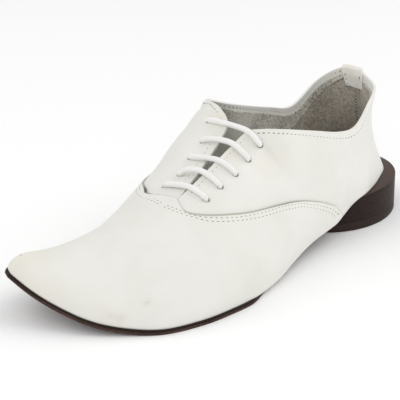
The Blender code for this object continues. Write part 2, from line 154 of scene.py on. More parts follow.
def catmull(rows, u):
    """Smooth value of every column of a table at row position u."""
    rows = np.asarray(rows, float)
    u = np.asarray(u, float)
    i = np.clip(np.floor(u).astype(int), 0, len(rows) - 2)
    w = (u - i)[..., None]
    ends = np.vstack([2 * rows[0] - rows[1], rows, 2 * rows[-1] - rows[-2]])
    p0, p1, p2, p3 = (ends[i + k] for k in range(4))
    bend = 2 * p0 - 5 * p1 + 4 * p2 - p3
    twist = 3 * p1 - p0 - 3 * p2 + p3
    return 0.5 * (2 * p1 + (p2 - p0) * w + bend * w ** 2 + twist * w ** 3)


def under(x, y):
    """Height of the underside of the sole: toe spring, flat ball, waist and heel seat."""
    x = np.asarray(x, float)
    y = np.asarray(y, float)
    ahead = (x - TOE_BREAK[0]) * TOE_AXIS[0] + (y - TOE_BREAK[1]) * TOE_AXIS[1]
    toe = TOE_SPRING * (np.maximum(ahead, 0.0) / TOE_REACH) ** TOE_CURL
    i = np.clip(np.searchsorted(WAIST[:, 0], y) - 1, 0, len(WAIST) - 2)
    w = (y - WAIST[i, 0]) / (WAIST[i + 1, 0] - WAIST[i, 0])
    waist = np.where(i < len(WAIST) - 2, catmull(WAIST, i + w)[..., 1], HEEL_HEIGHT)
    return np.where(y < WAIST[0, 0], toe, waist)


def unit(v):
    return v / np.linalg.norm(v, axis=-1, keepdims=True)


def outward(side, u):
    """Plan direction that points out of the shoe at row position u."""
    u = np.asarray(u, float)
    ahead = catmull(RIBS[side], np.minimum(u + ROW_REACH, LAST_ROW))
    step = (ahead - catmull(RIBS[side], np.maximum(u - ROW_REACH, 0.0)))[..., :2]
    turn = np.stack([step[..., 1], -step[..., 0], 0 * u], -1)
    turn = unit(turn if side == "lateral" else -turn)
    toe = (1.0 - smooth(0.0, 1.0, u))[..., None]
    heel = smooth(LAST_ROW - 1.0, LAST_ROW, u)[..., None]
    return unit(turn * (1 - toe - heel) + toe * TOE_OUT + heel * HEEL_OUT)


def foot_lift(u):
    """The upper stands on the sole at the forefoot and hangs over its edge behind."""
    return SOLE_THICK + GAP - (SOLE_THICK - HANG) * smooth(*HANG_ROWS, np.asarray(u, float))


def foot(side, u):
    """Foot of the rib at row position u."""
    row = catmull(RIBS[side], u)
    x, y = row[..., 0], row[..., 1]
    return np.stack([x, y, under(x, y) + foot_lift(u)], -1)


def skin(side, u, t):
    """Outer face of the upper at row position u and share t of the rib's length."""
    u, t = np.broadcast_arrays(np.asarray(u, float), np.asarray(t, float))
    row = catmull(RIBS[side], u)
    out = outward(side, u)
    low = foot(side, u)
    ridge = sum(catmull(RIBS[s], u)[..., 2:5] for s in SIDES) / 2
    high = np.where((u < SLIT_ROW)[..., None], ridge, row[..., 2:5])
    low_lean = low + out * row[..., 5:6] + UP * row[..., 6:7]
    high_lean = high + out * row[..., 7:8] + UP * row[..., 8:9]
    t = t[..., None]
    s = 1.0 - t
    return low * s ** 3 + 3 * low_lean * s * s * t + 3 * high_lean * s * t * t + high * t ** 3


def linear(hex_colour):
    """Linear RGBA of an sRGB hex colour."""
    rgb = []
    for i in (1, 3, 5):
        c = int(hex_colour[i:i + 2], 16) / 255.0
        rgb.append(c / 12.92 if c <= 0.04045 else ((c + 0.055) / 1.055) ** 2.4)
    return (*rgb, 1.0)


def add_node(material, kind, settings=None, links=None):
    """Adds one node. Settings are properties or input values, links join inputs to sockets."""
    made = material.node_tree.nodes.new("ShaderNode" + kind)
    for key, value in (settings or {}).items():
        if isinstance(key, int) or key in made.inputs:
            made.inputs[key].default_value = value
        else:
            setattr(made, key, value)
    for key, socket in (links or {}).items():
        material.node_tree.links.new(socket, made.inputs[key])
    return made


def new_material(name):
    """Empty node material and its Object coordinates."""
    material = bpy.data.materials.new(name)
    material.use_nodes = True
    return material, add_node(material, "TexCoord").outputs["Object"]


def set_shader(material, values, colour=None, height=None, strength=0.2, depth=0.0):
    """Gives a material's shader its uniform values, its colour and a relief of a real depth."""
    shader = material.node_tree.nodes["Principled BSDF"]
    for name, value in values.items():
        shader.inputs[name].default_value = value
    if colour is not None:
        material.node_tree.links.new(colour, shader.inputs["Base Color"])
    if depth:
        bump = add_node(material, "Bump",
                        {"Strength": strength, "Distance": depth * MM}, {"Height": height})
        material.node_tree.links.new(bump.outputs["Normal"], shader.inputs["Normal"])
    return shader


def lay_grid(bm, columns, rows, place):
    """Lays a flat grid over the shoe: place turns its shares along and across into points."""
    flat = bmesh.ops.create_grid(bm, x_segments=columns, y_segments=rows, size=0.5,
                                 calc_uvs=True)["verts"]
    share = np.array([v.co[:2] for v in flat]) + 0.5
    for v, p in zip(flat, place(share[:, 0], share[:, 1]) * MM):
        v.co = p
    return flat


def thicken(bm, thick, edge_round, segments, edge_material=0):
    """Gives an open sheet its thickness behind the face and rounds its cut edge."""
    way = bm.verts.layers.float_vector.new("way")
    for v in bm.verts:
        v[way] = v.normal
    made = bmesh.ops.extrude_face_region(bm, geom=bm.faces[:], use_keep_orig=True)["geom"]
    behind = {v for v in made if isinstance(v, bmesh.types.BMVert)}
    for v in behind:
        v.co -= v[way] * thick * MM
    rim = {f for f in bm.faces if 0 < sum(v in behind for v in f.verts) < len(f.verts)}
    for f in rim:
        f.material_index = edge_material
    bmesh.ops.recalc_face_normals(bm, faces=bm.faces[:])
    sharp = [e for e in bm.edges if sum(f in rim for f in e.link_faces) == 1]
    made = bmesh.ops.bevel(bm, geom=sharp, offset=edge_round * MM, affect="EDGES",
                           segments=segments, profile=0.5, material=-1, clamp_overlap=True)
    for f in made["faces"]:
        f.material_index = edge_material


def make_object(bm, name):
    """Turns a bmesh into an object."""
    mesh = bpy.data.meshes.new(name)
    bm.to_mesh(mesh)
    bm.free()
    made = bpy.data.objects.new(name, mesh)
    bpy.context.collection.objects.link(made)
    return made


def finish_piece(bm, name, material, slot, *nodes):
    """Turns a bmesh into a smooth piece of the shoe that rides on its one body."""
    piece = make_object(bm, name)
    piece.data.shade_smooth()
    piece.data.materials.append(material)
    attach(piece, "root")
    if nodes:
        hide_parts(*nodes)
    return piece


def plate_points(inset, rows, height):
    """Place function of a plate that follows the underside from side to side."""
    def place(along, across):
        u = rows[0] + (rows[1] - rows[0]) * along ** PLATE_CROWD
        ends = [foot(s, u) - outward(s, u) * inset(u)[:, None] for s in SIDES]
        p = ends[0] * (1 - across[:, None]) + ends[1] * across[:, None]
        p[:, 2] = under(p[:, 0], p[:, 1]) + height
        return p
    return place


def insole_inset(u):
    return WALL + INSOLE_CLEAR + INSOLE_TUCK * smooth(*INSOLE_TUCK_ROWS, u)


# Vegetable-tanned insole leather, buffed: matt, with paler worn patches and open pores. The
# pores are drawn coarser than real ones, so that they show.
insole_leather, where = new_material("buffed_insole_leather")
wear = add_node(insole_leather, "TexNoise",
                {"Scale": 1 / (WEAR_MM * MM), "Detail": 4.0}, {"Vector": where})
pores = add_node(insole_leather, "TexVoronoi", {"Scale": 1 / (PORE_MM * MM)},
                 {"Vector": where})
tone = add_node(insole_leather, "Mix",
                {"data_type": "RGBA", 6: linear(INSOLE_BROWN), 7: linear(INSOLE_WORN)},
                {0: wear.outputs["Fac"]})
set_shader(insole_leather, {"Roughness": 0.75}, tone.outputs[2], pores.outputs["Distance"],
           strength=0.3, depth=PORE_DEPTH)

bm = bmesh.new()
lay_grid(bm, *INSOLE_GRID,
         plate_points(insole_inset, INSOLE_ROWS, SOLE_THICK + GAP + INSOLE_THICK))
thicken(bm, INSOLE_THICK, INSOLE_EDGE, segments=2)
finish_piece(bm, "insole_board", insole_leather, "insole_leather", "insole")

# Lining: grey split leather, glued to the inside of the upper, one sheet from toe to heel.
# It stops short of the collar and the throat, where the white leather turns over.
LINING_FACE = 1.85
LINING_THICK = 0.5
LINING_ROUND = 0.15
FACING = 3.6
LINING_START = 1.6
SLIT_MARGIN = 0.15
RIB_SAMPLES = 25
LEAST_LEAN = 0.4
WELD = 0.02
LINING_GRID = (130, 40)
LINING_GREY = "#8A877B"
LINING_PALE = "#DCD9CE"
LINING_PAINTED_LIGHT = "#E6E6DC"
SUEDE_NAP_MM = 1.3
SUEDE_NAP_DEPTH = 0.25
SUEDE_CLOUD_MM = 16.0
SUEDE_CLOUD_SHARE = 0.45


def rib_length(side, u):
    """Length of the rib at row position u."""
    points = skin(side, np.asarray(u, float)[..., None], np.linspace(0.0, 1.0, RIB_SAMPLES))
    return np.linalg.norm(np.diff(points, axis=-2), axis=-1).sum(-1)


def below_rim(side, u, drop):
    """Share of the rib that lies drop millimetres from the rim, measured square to it."""
    u = np.asarray(u, float)
    rim = skin(side, np.minimum(u + ROW_REACH, LAST_ROW), 1.0) - skin(side, u - ROW_REACH, 1.0)
    rib = skin(side, u, 1.0) - skin(side, u, 1.0 - ROW_REACH)
    lean = np.linalg.norm(np.cross(rim, rib), axis=-1)
    lean /= np.linalg.norm(rim, axis=-1) * np.linalg.norm(rib, axis=-1)
    return 1.0 - drop / np.maximum(lean, LEAST_LEAN) / rib_length(side, u)


def lay_sides(bm, columns, rows, place):
    """Lays the same panel on both sides of the shoe, faces outward, and joins what meets."""
    for side in SIDES:
        flat = lay_grid(bm, columns, rows, lambda along, up: place(side, along, up))
        if side == "medial":
            faces = list({f for v in flat for f in v.link_faces})
            bmesh.ops.reverse_faces(bm, faces=faces)
    bmesh.ops.remove_doubles(bm, verts=bm.verts[:], dist=WELD * MM)
    bm.normal_update()


def raise_sheet(bm, height):
    """Moves a sheet along its own normals, by a number or by one height a point."""
    rise = np.broadcast_to(height, len(bm.verts))
    moved = [v.co + v.normal * float(h) * MM for v, h in zip(bm.verts, rise)]
    for v, p in zip(bm.verts, moved):
        v.co = p
    bm.normal_update()


def lining_place(side, along, up):
    u = LINING_START + (LAST_ROW - LINING_START) * along
    top = np.where(u < SLIT_ROW - SLIT_MARGIN, 1.0, below_rim(side, u, FACING))
    return skin(side, u, up * top)


def paint(piece, name, spots):
    """Stores soft round spots on a piece, each a centre, a radius and a strength."""
    points = np.empty(len(piece.data.vertices) * 3)
    piece.data.vertices.foreach_get("co", points)
    points = points.reshape(-1, 3) / MM
    value = np.zeros(len(points))
    for centre, radius, strength in spots:
        value += strength * np.exp(-(((points - centre) / radius) ** 2).sum(1))
    stored = piece.data.attributes.new(name, "FLOAT", "POINT")
    stored.data.foreach_set("value", value.astype(np.float32))


def suede(name, dark, pale):
    """Split leather with a short nap: clouded colour, no gloss, a soft fibrous surface, paler
    where a painted pool of light is stored.
    """
    material, where = new_material(name)
    cloud = add_node(material, "TexNoise",
                     {"Scale": 1 / (SUEDE_CLOUD_MM * MM), "Detail": 5.0, "Roughness": 0.65},
                     {"Vector": where})
    nap = add_node(material, "TexNoise",
                   {"Scale": 1 / (SUEDE_NAP_MM * MM), "Detail": 3.0, "Roughness": 0.7},
                   {"Vector": where})
    both = add_node(material, "Math", {"operation": "MULTIPLY_ADD", 1: SUEDE_CLOUD_SHARE},
                    {0: cloud.outputs["Fac"], 2: nap.outputs["Fac"]})
    share = add_node(material, "MapRange",
                     {"From Min": 0.58, "From Max": 0.86, "To Min": 0.0, "To Max": 1.0},
                     {"Value": both.outputs["Value"]})
    tone = add_node(material, "Mix",
                    {"data_type": "RGBA", 6: linear(dark), 7: linear(pale)},
                    {0: share.outputs["Result"]})
    # Painted light: a stored share turns the nap towards a pale tone.
    painted_light = add_node(material, "Attribute", {"attribute_name": "painted_light"})
    front = add_node(material, "Mix", {"data_type": "RGBA", 7: linear(LINING_PAINTED_LIGHT)},
                     {0: painted_light.outputs["Fac"], 6: tone.outputs[2]})
    set_shader(material, {"Roughness": 0.9, "Sheen Weight": 0.15}, front.outputs[2],
               nap.outputs["Fac"], strength=0.6, depth=SUEDE_NAP_DEPTH)
    return material


# Grey split leather with its nap up: clouded, fibrous and without gloss. The nap is drawn
# coarser than a real one, so that it shows.
lining_suede = suede("grey_split_suede", LINING_GREY, LINING_PALE)

# The five pairs of eyelets, top to bottom, punched through quarter and lining at once.
EYELETS = {
    # row and rib share of each
    "lateral": [(11.16, 0.836), (9.95, 0.817), (9.06, 0.816), (8.34, 0.831), (7.64, 0.832)],
    "medial": [(10.55, 0.867), (9.56, 0.912), (8.76, 0.895), (8.01, 0.899), (7.33, 0.856)],
}
EYELET_PLACES = [(side, *place) for side in SIDES for place in EYELETS[side]]
EYELET_DIAMETER = 4.0
PUNCH_DEPTH = 12.0
PUNCH_SIDES = 20
SKIN_REACH = 0.02


def wrapped(side, u, t):
    """The outer face, carried on past the toe, the back and the ridge to the other side."""
    other = SIDES[1 - SIDES.index(side)]
    over = (u > LAST_ROW) | (u < 0) | ((t > 1) & (u < SLIT_ROW))
    u_in = np.where(u > LAST_ROW, 2 * LAST_ROW - u, np.abs(u))
    t_in = np.where((t > 1) & (u < SLIT_ROW), 2 - t, t)
    return np.where(over[..., None], skin(other, u_in, t_in), skin(side, u_in, t_in))


def skin_normal(side, u, t):
    """Unit normal of the outer face."""
    u, t = np.broadcast_arrays(np.asarray(u, float), np.asarray(t, float))
    du = wrapped(side, u + SKIN_REACH, t) - wrapped(side, u - SKIN_REACH, t)
    dt = wrapped(side, u, t + SKIN_REACH) - wrapped(side, u, t - SKIN_REACH)
    return unit(np.cross(du, dt) if side == "lateral" else np.cross(dt, du))


def cut_away(piece, bm):
    """Cuts the closed shapes of a bmesh out of a piece."""
    tool = make_object(bm, "tool")
    cut = piece.modifiers.new("cut", "BOOLEAN")
    cut.operation = "DIFFERENCE"
    cut.solver = "EXACT"
    cut.object = tool
    bpy.context.view_layer.objects.active = piece
    bpy.ops.object.modifier_apply(modifier=cut.name)
    mesh = tool.data
    bpy.data.objects.remove(tool)
    bpy.data.meshes.remove(mesh)


def punch_eyelets(piece):
    """Cuts the ten round holes through a piece."""
    bm = bmesh.new()
    radius = EYELET_DIAMETER / 2 * MM
    for place in EYELET_PLACES:
        made = bmesh.ops.create_cone(bm, cap_ends=True, segments=PUNCH_SIDES, radius1=radius,
                                     radius2=radius, depth=PUNCH_DEPTH * MM)["verts"]
        turn = Vector(UP).rotation_difference(Vector(skin_normal(*place))).to_matrix().to_4x4()
        centre = Matrix.Translation(Vector(skin(*place)) * MM)
        bmesh.ops.transform(bm, matrix=centre @ turn, verts=made)
    cut_away(piece, bm)
    piece.data.shade_smooth()


bm = bmesh.new()
lay_sides(bm, *LINING_GRID, lining_place)
raise_sheet(bm, -LINING_FACE)
thicken(bm, LINING_THICK, LINING_ROUND, segments=1)
lining = finish_piece(bm, "lining", lining_suede, "insole_leather", "upper")
punch_eyelets(lining)
# Painted light: a pale pool on the inner side's lining, where light falls in through the collar
# and shows between the throat edges.
paint(lining, "painted_light", [((-33.0, -65.0, 58.0), 16.0, 1.0)])

# Heel grip: a second pocket of browner suede over the lining at the back, so that the heel
# doesn't slip. Its front edge runs slantwise from the pull tab down to the waist.
GRIP_SINK = 0.05
GRIP_FACE = LINING_FACE + LINING_THICK - GRIP_SINK
GRIP_THICK = 0.4
GRIP_ROUND = 0.12
GRIP_GRID = (50, 36)
GRIP_BROWN = "#8C8478"
GRIP_PALE = "#BEB7AA"
GRIP_FRONT = np.array([
    # row, rib share
    (14.7, 0.0),
    (15.0, 0.22),
    (15.45, 0.46),
    (15.97, 0.664),
    (16.42, 0.765),
    (16.87, 0.818),
    (17.3, 0.862),
    (17.75, 0.89),
    (18.09, 0.91),
])


def grip_place(side, along, up):
    front = catmull(GRIP_FRONT, up * (len(GRIP_FRONT) - 1))
    back = np.stack([np.full_like(up, LAST_ROW), up * below_rim(side, LAST_ROW, FACING)], -1)
    at = front * (1 - along[:, None]) + back * along[:, None]
    return skin(side, at[:, 0], at[:, 1])


# The same split leather, dyed browner and more evenly.
grip_suede = suede("brown_grey_suede", GRIP_BROWN, GRIP_PALE)
bm = bmesh.new()
lay_sides(bm, *GRIP_GRID, grip_place)
raise_sheet(bm, -GRIP_FACE)
thicken(bm, GRIP_THICK, GRIP_ROUND, segments=1)
finish_piece(bm, "heel_grip", grip_suede, "insole_leather", "upper")

# Quarters: the two back panels of white calf, closed at the back seam. Their top edge is
# folded over a stay, so it is thick and round, and their front runs under the vamp.
QUARTER_START = 6.3
QUARTER_GRID = (170, 52)
QUARTER_LOW = np.array([
    # row, rib share of the hidden lower edge
    (6.3, 0.80),
    (6.6, 0.75),
    (7.0, 0.68),
    (7.5, 0.56),
    (8.0, 0.45),
    (9.0, 0.35),
    (10.0, 0.31),
    (11.0, 0.28),
    (12.0, 0.25),
    (13.0, 0.19),
    (13.5, 0.12),
    (14.0, 0.0),
    (19.0, 0.0),
])
QUARTER_CREASES = [
    # side, width, depth, row and rib share of each point
    ("lateral", 4.0, 0.45, [(15.5, 0.8), (15.9, 0.55), (16.3, 0.3), (16.2, 0.1)]),
    ("lateral", 1.6, 0.4, [(15.6, 0.82), (15.52, 0.57), (15.73, 0.37), (15.65, 0.2)]),
    ("lateral", 5.0, 0.4, [(14.6, 0.5), (15.0, 0.35), (15.1, 0.15)]),
    ("lateral", 7.0, 0.5, [(11.2, 0.72), (12.2, 0.66), (13.2, 0.62)]),
    ("medial", 4.0, 0.45, [(15.5, 0.8), (15.9, 0.55), (16.3, 0.3), (16.2, 0.1)]),
    ("medial", 7.0, 0.5, [(11.2, 0.7), (12.2, 0.62), (13.2, 0.55)]),
]
CREASE_SAMPLES = 60
FOLD_ROUND = 0.75
FEATHER_SHARE = 0.06
LOW_TUCK = 0.02
WAIST_ROWS = (7.6, 9.2)
SEAT_ROWS = (13.2, 14.2)
MARGIN = (1.4, 3.4)
MARGIN_DROP = (0.55, 0.55)
MARGIN_CURVES = (1.6, 0.7)
EYELET_DIMPLE = 0.45
EYELET_PULL = 3.0
BACK_SEAM_DEPTH = 0.5
BACK_SEAM_WIDTH = 0.9
BACK_SEAM_POINTS = 9
LEATHER_WHITE = "#E9E8E2"
LEATHER_SHADE = "#E4E3DC"
LEATHER_YELLOW = "#DED3B4"
LEATHER_SCUFF = "#A59C8C"
GRAIN_MM = 1.0
GRAIN_DEPTH = 0.08
CLOUD_MM = 26.0
SCRATCH_MM = 1.6


def sheet_shares(up):
    """Share of the way up the wall, and of the turn under the foot, at a share of a sheet."""
    rise = np.clip((up - FEATHER_SHARE) / (1 - FEATHER_SHARE), 0.0, 1.0)
    return rise, np.clip(1 - up / FEATHER_SHARE, 0.0, 1.0)


def feather(side, u, turn):
    """Lasted margin: the leather turns in under the foot, turn runs from the edge inward."""
    inward = MARGIN[0] + MARGIN[1] * smooth(*WAIST_ROWS, u)
    down = MARGIN_DROP[0] + MARGIN_DROP[1] * smooth(*SEAT_ROWS, u)
    p = foot(side, u) - outward(side, u) * (inward * turn ** MARGIN_CURVES[0])[:, None]
    p[:, 2] -= down * turn ** MARGIN_CURVES[1]
    return p


def creases(points, table):
    """Height of soft troughs, or ridges where depth is negative, along lines on the skin."""
    rise = np.zeros(len(points))
    for side, width, depth, places in table:
        line = [skin(side, u, t) for u, t in places]
        track = catmull(line, np.linspace(0, len(line) - 1, CREASE_SAMPLES))
        gap = np.linalg.norm(points[:, None, :] - track[None], axis=-1).min(1)
        rise -= depth * np.exp(-(gap / width) ** 2)
    return rise


def sheet_points(bm):
    return np.array([v.co for v in bm.verts]) / MM


# Smooth white calf, drum-dyed and finished with a thin coat: faint clouds of grey, cream where
# it was handled and dull where it was rubbed. Its pebble shows in the gloss alone, and is drawn
# coarser than a real one.
white_calf, where = new_material("white_smooth_calf")
cloud = add_node(white_calf, "TexNoise",
                 {"Scale": 1 / (CLOUD_MM * MM), "Detail": 4.0, "Roughness": 0.55},
                 {"Vector": where})
cloud_share = add_node(white_calf, "MapRange", {"From Min": 0.35, "From Max": 0.7},
                       {"Value": cloud.outputs["Fac"]})
tone = add_node(white_calf, "Mix",
                {"data_type": "RGBA", 6: linear(LEATHER_WHITE), 7: linear(LEATHER_SHADE)},
                {0: cloud_share.outputs["Result"]})
handled = add_node(white_calf, "Attribute", {"attribute_name": "handled"})
cream = add_node(white_calf, "Mix",
                 {"data_type": "RGBA", 7: linear(LEATHER_YELLOW)},
                 {0: handled.outputs["Fac"], 6: tone.outputs[2]})
scuffed = add_node(white_calf, "Attribute", {"attribute_name": "scuffed"})
scratch = add_node(white_calf, "TexNoise",
                   {"Scale": 1 / (SCRATCH_MM * MM), "Detail": 2.0}, {"Vector": where})
scuff_share = add_node(white_calf, "Math", {"operation": "MULTIPLY"},
                       {0: scuffed.outputs["Fac"], 1: scratch.outputs["Fac"]})
rubbed = add_node(white_calf, "Mix",
                  {"data_type": "RGBA", 7: linear(LEATHER_SCUFF)},
                  {0: scuff_share.outputs["Value"], 6: cream.outputs[2]})
grain = add_node(white_calf, "TexVoronoi",
                 {"feature": "SMOOTH_F1", "Scale": 1 / (GRAIN_MM * MM), "Smoothness": 0.6},
                 {"Vector": where})
gloss = add_node(white_calf, "MapRange", {"To Min": 0.42, "To Max": 0.56},
                 {"Value": cloud.outputs["Fac"]})
shader = set_shader(white_calf, {"IOR": 1.48, "Coat Weight": 0.08, "Coat Roughness": 0.35},
                    rubbed.outputs[2], grain.outputs["Distance"], strength=0.12, depth=GRAIN_DEPTH)
white_calf.node_tree.links.new(gloss.outputs["Result"], shader.inputs["Roughness"])


def quarter_place(side, along, up):
    u = QUARTER_START + (LAST_ROW - QUARTER_START) * along
    low = np.interp(u, QUARTER_LOW[:, 0], QUARTER_LOW[:, 1])
    rise, turn = sheet_shares(up)
    wall = skin(side, u, np.maximum(low + (1 - low) * rise - LOW_TUCK * turn, 0.0))
    margin = feather(side, u, turn)
    on_margin = (turn > 0) & (low <= 0)
    return np.where(on_margin[:, None], margin, wall)


bm = bmesh.new()
lay_sides(bm, *QUARTER_GRID, quarter_place)
points = sheet_points(bm)
rise = np.zeros(len(points))
for place in EYELET_PLACES:
    gap = np.linalg.norm(points - skin(*place), axis=1)
    rise -= EYELET_DIMPLE * np.exp(-(gap / EYELET_PULL) ** 2)
seam = [(LAST_ROW, t) for t in np.linspace(0, 1, BACK_SEAM_POINTS)]
rise += creases(points, [("lateral", BACK_SEAM_WIDTH, BACK_SEAM_DEPTH, seam)])
# The counter's edge, the break behind the ankle and the slack above the waist.
rise += creases(points, QUARTER_CREASES)
raise_sheet(bm, rise)
thicken(bm, WALL, FOLD_ROUND, segments=3)
quarters = finish_piece(bm, "quarters", white_calf, "upper_leather", "upper")
punch_eyelets(quarters)
paint(quarters, "handled", [
    (skin("lateral", 10.67, 0.685), 9.0, 0.14),
    (skin("lateral", 12.6, 0.75), 12.0, 0.06),
    (skin("lateral", 9.8, 0.93), 6.0, 0.2),
    (skin("medial", 11.0, 0.95), 9.0, 0.25),
    (skin("medial", 18.0, 0.95), 12.0, 0.2),
])
paint(quarters, "scuffed", [(skin("lateral", 15.73, 0.1), 5.0, 0.12)])

# Vamp: one piece of the same calf over toe and instep, lasted over the feather and lapped
# over the quarters. It rises to a point at the foot of the lacing, with a scallop each side.
VAMP_FACE = 1.0
VAMP_THICK = 1.0
VAMP_ROUND = 0.2
VAMP_STRIP = 0.34
VAMP_GRID = (190, 50)
RIDGE_SHARE = 0.3
PEAK_FOOT = 3.9
PEAK_CROWD = 0.6
LEAST_RISE = 6.0
EDGE_SAMPLES = 200
RIM_SAMPLES = 1500
RIM_NEAR = 0.2
VAMP_TAPER = (-46.0, -35.0)
TIP_ROWS = 1.3
TIP_SAMPLES = 30
TIP_REACH = 5.0
TIP_PASSES = 10
VAMP_CREASES = [
    # side, width, depth, row and rib share of each point
    ("lateral", 9.0, 0.7, [(2.6, 0.82), (3.6, 0.8), (4.8, 0.82)]),
    ("lateral", 6.0, 0.3, [(4.4, 0.42), (4.9, 0.5), (5.2, 0.62)]),
    ("lateral", 7.0, 0.35, [(6.0, 0.28), (6.3, 0.42), (6.2, 0.56)]),
    ("medial", 7.0, 0.4, [(4.6, 0.5), (5.2, 0.6), (5.6, 0.75)]),
    ("medial", 3.0, -0.5, [(6.80, 0.88), (6.74, 0.81), (7.0, 0.727)]),
]
EDGE_PALE = "#BAB6AC"
EDGE_SHADE = "#5F5B52"
EDGE_FIBRE_MM = 1.5
EDGE_FIBRE_DEPTH = 0.05
VAMP_EDGE = {
    "lateral": np.array([
        # row, rib share, row of the foot below it
        (7.0, 1.0, 3.9),
        (6.87, 0.950, 4.1),
        (6.77, 0.908, 4.35),
        (6.73, 0.868, 4.65),
        (6.80, 0.828, 5.0),
        (7.0, 0.781, 5.5),
        (7.5, 0.697, 6.4),
        (8.0, 0.629, 7.1),
        (8.5, 0.567, 7.8),
        (9.0, 0.518, 8.4),
        (10.0, 0.433, 9.6),
        (11.0, 0.377, 10.8),
        (12.0, 0.341, 11.9),
        (12.5, 0.319, 12.45),
        (13.0, 0.285, 13.0),
        (13.5, 0.217, 13.5),
        (13.75, 0.151, 13.75),
        (14.0, 0.066, 14.0),
        (14.2, 0.0, 14.2),
    ]),
    "medial": np.array([
        # row, rib share, row of the foot below it
        (7.0, 1.0, 3.9),
        (6.86, 0.935, 4.15),
        (6.73, 0.880, 4.4),
        (6.68, 0.830, 4.7),
        (6.76, 0.775, 5.05),
        (7.0, 0.727, 5.5),
        (7.5, 0.596, 6.4),
        (8.0, 0.505, 7.2),
        (8.5, 0.452, 7.9),
        (9.0, 0.417, 8.5),
        (10.0, 0.372, 9.7),
        (11.0, 0.345, 10.8),
        (12.0, 0.315, 11.9),
        (12.5, 0.295, 12.45),
        (13.0, 0.265, 13.0),
        (13.5, 0.205, 13.5),
        (13.75, 0.145, 13.75),
        (14.0, 0.066, 14.0),
        (14.2, 0.0, 14.2),
    ]),
}


def run_length(points):
    """Length of a line of points from its start to each of them."""
    return np.concatenate([[0.0], np.cumsum(np.linalg.norm(np.diff(points, axis=0), axis=1))])


def vamp_line(side, along):
    """Top of the vamp along the ridge and then its edge: row, rib share and row of the foot."""
    edge = VAMP_EDGE[side]
    ticks = np.linspace(0, len(edge) - 1, EDGE_SAMPLES)
    track = catmull(edge, ticks)
    length = run_length(skin(side, track[:, 0], track[:, 1]))
    on_ridge = np.clip(along / RIDGE_SHARE, 0.0, 1.0)[:, None]
    ridge = np.concatenate([SLIT_ROW * on_ridge, 1 + 0 * on_ridge, PEAK_FOOT * on_ridge], 1)
    on_edge = np.clip((along - RIDGE_SHARE) / (1 - RIDGE_SHARE), 0.0, 1.0)
    on_edge = on_edge * (PEAK_CROWD + (1 - PEAK_CROWD) * on_edge)
    tick = np.interp(on_edge * length[-1], length, ticks)
    return np.where(along[:, None] <= RIDGE_SHARE, ridge, catmull(edge, tick))


def vamp_place(side, along, up):
    line = vamp_line(side, along)
    rise, turn = sheet_shares(up)
    # The last row of faces shrinks to a thin strip, which takes the raw edge's grey: partly its
    # own colour, partly painted shade of the step.
    one_row = 1 / VAMP_GRID[1]
    strip = VAMP_STRIP / np.maximum(rib_length(side, line[:, 0]) * line[:, 1], LEAST_RISE)
    squeeze = (1 - strip) / (1 - one_row / (1 - FEATHER_SHARE))
    rise = np.where(rise < 1 - 1.5 * one_row, rise * squeeze, rise)
    u = line[:, 2] * (1 - rise) + line[:, 0] * rise
    t = np.maximum(line[:, 1] * rise, 0.0)
    wall = skin(side, u, t)
    return np.where((turn > 0)[:, None], feather(side, line[:, 2], turn), wall)


# Raw edge of the calf, cut and not inked: grey fibres, partly the edge's own colour and partly
# painted shade of the step onto the quarter, turned darker by painted shade where the inner
# scallop stands off the quarter and along the outer side's edge. The fibres are drawn coarser than
# real ones, so that they show.
cut_edge, where = new_material("raw_calf_edge")
fibre = add_node(cut_edge, "TexNoise",
                 {"Scale": 1 / (EDGE_FIBRE_MM * MM), "Detail": 3.0}, {"Vector": where})
edge_shade = add_node(cut_edge, "Attribute", {"attribute_name": "edge_shade"})
tone = add_node(cut_edge, "Mix",
                {"data_type": "RGBA", 6: linear(EDGE_PALE), 7: linear(EDGE_SHADE)},
                {0: edge_shade.outputs["Fac"]})
set_shader(cut_edge, {"Roughness": 0.85}, tone.outputs[2], fibre.outputs["Fac"],
           depth=EDGE_FIBRE_DEPTH)

bm = bmesh.new()
lay_sides(bm, *VAMP_GRID, vamp_place)
points = sheet_points(bm)
# The dent along the ridge, the rolls where the toes bend and the raised inner scallop.
rise = VAMP_FACE * (1 - smooth(*VAMP_TAPER, points[:, 1])) + creases(points, VAMP_CREASES)
# Faces at the rim take the raw edge's grey, partly painted shade of the step onto the quarter.
for side in SIDES:
    rim = vamp_line(side, np.linspace(RIDGE_SHARE, 1.0, RIM_SAMPLES))
    rim = skin(side, rim[:, 0], rim[:, 1])
    at_rim = {v for v, p in zip(bm.verts, points) if np.abs(rim - p).sum(1).min() < RIM_NEAR}
    for f in {f for v in at_rim for f in v.link_faces}:
        if sum(v in at_rim for v in f.verts) >= 2:
            f.material_index = 1
tip_line = skin("lateral", np.linspace(0.0, TIP_ROWS, TIP_SAMPLES), 1.0)
gap = np.linalg.norm(points[:, None, :] - tip_line[None], axis=-1).min(1)
tip = [v for v, g in zip(bm.verts, gap) if g < TIP_REACH]
for height in (rise, 0.0):
    for _ in range(TIP_PASSES):
        bmesh.ops.smooth_vert(bm, verts=tip, factor=0.5, use_axis_x=True, use_axis_y=True,
                              use_axis_z=True)
    bm.normal_update()
    raise_sheet(bm, height)
thicken(bm, VAMP_THICK, VAMP_ROUND, segments=2, edge_material=1)
vamp = finish_piece(bm, "vamp", white_calf, "upper_leather", "upper")
vamp.data.materials.append(cut_edge)
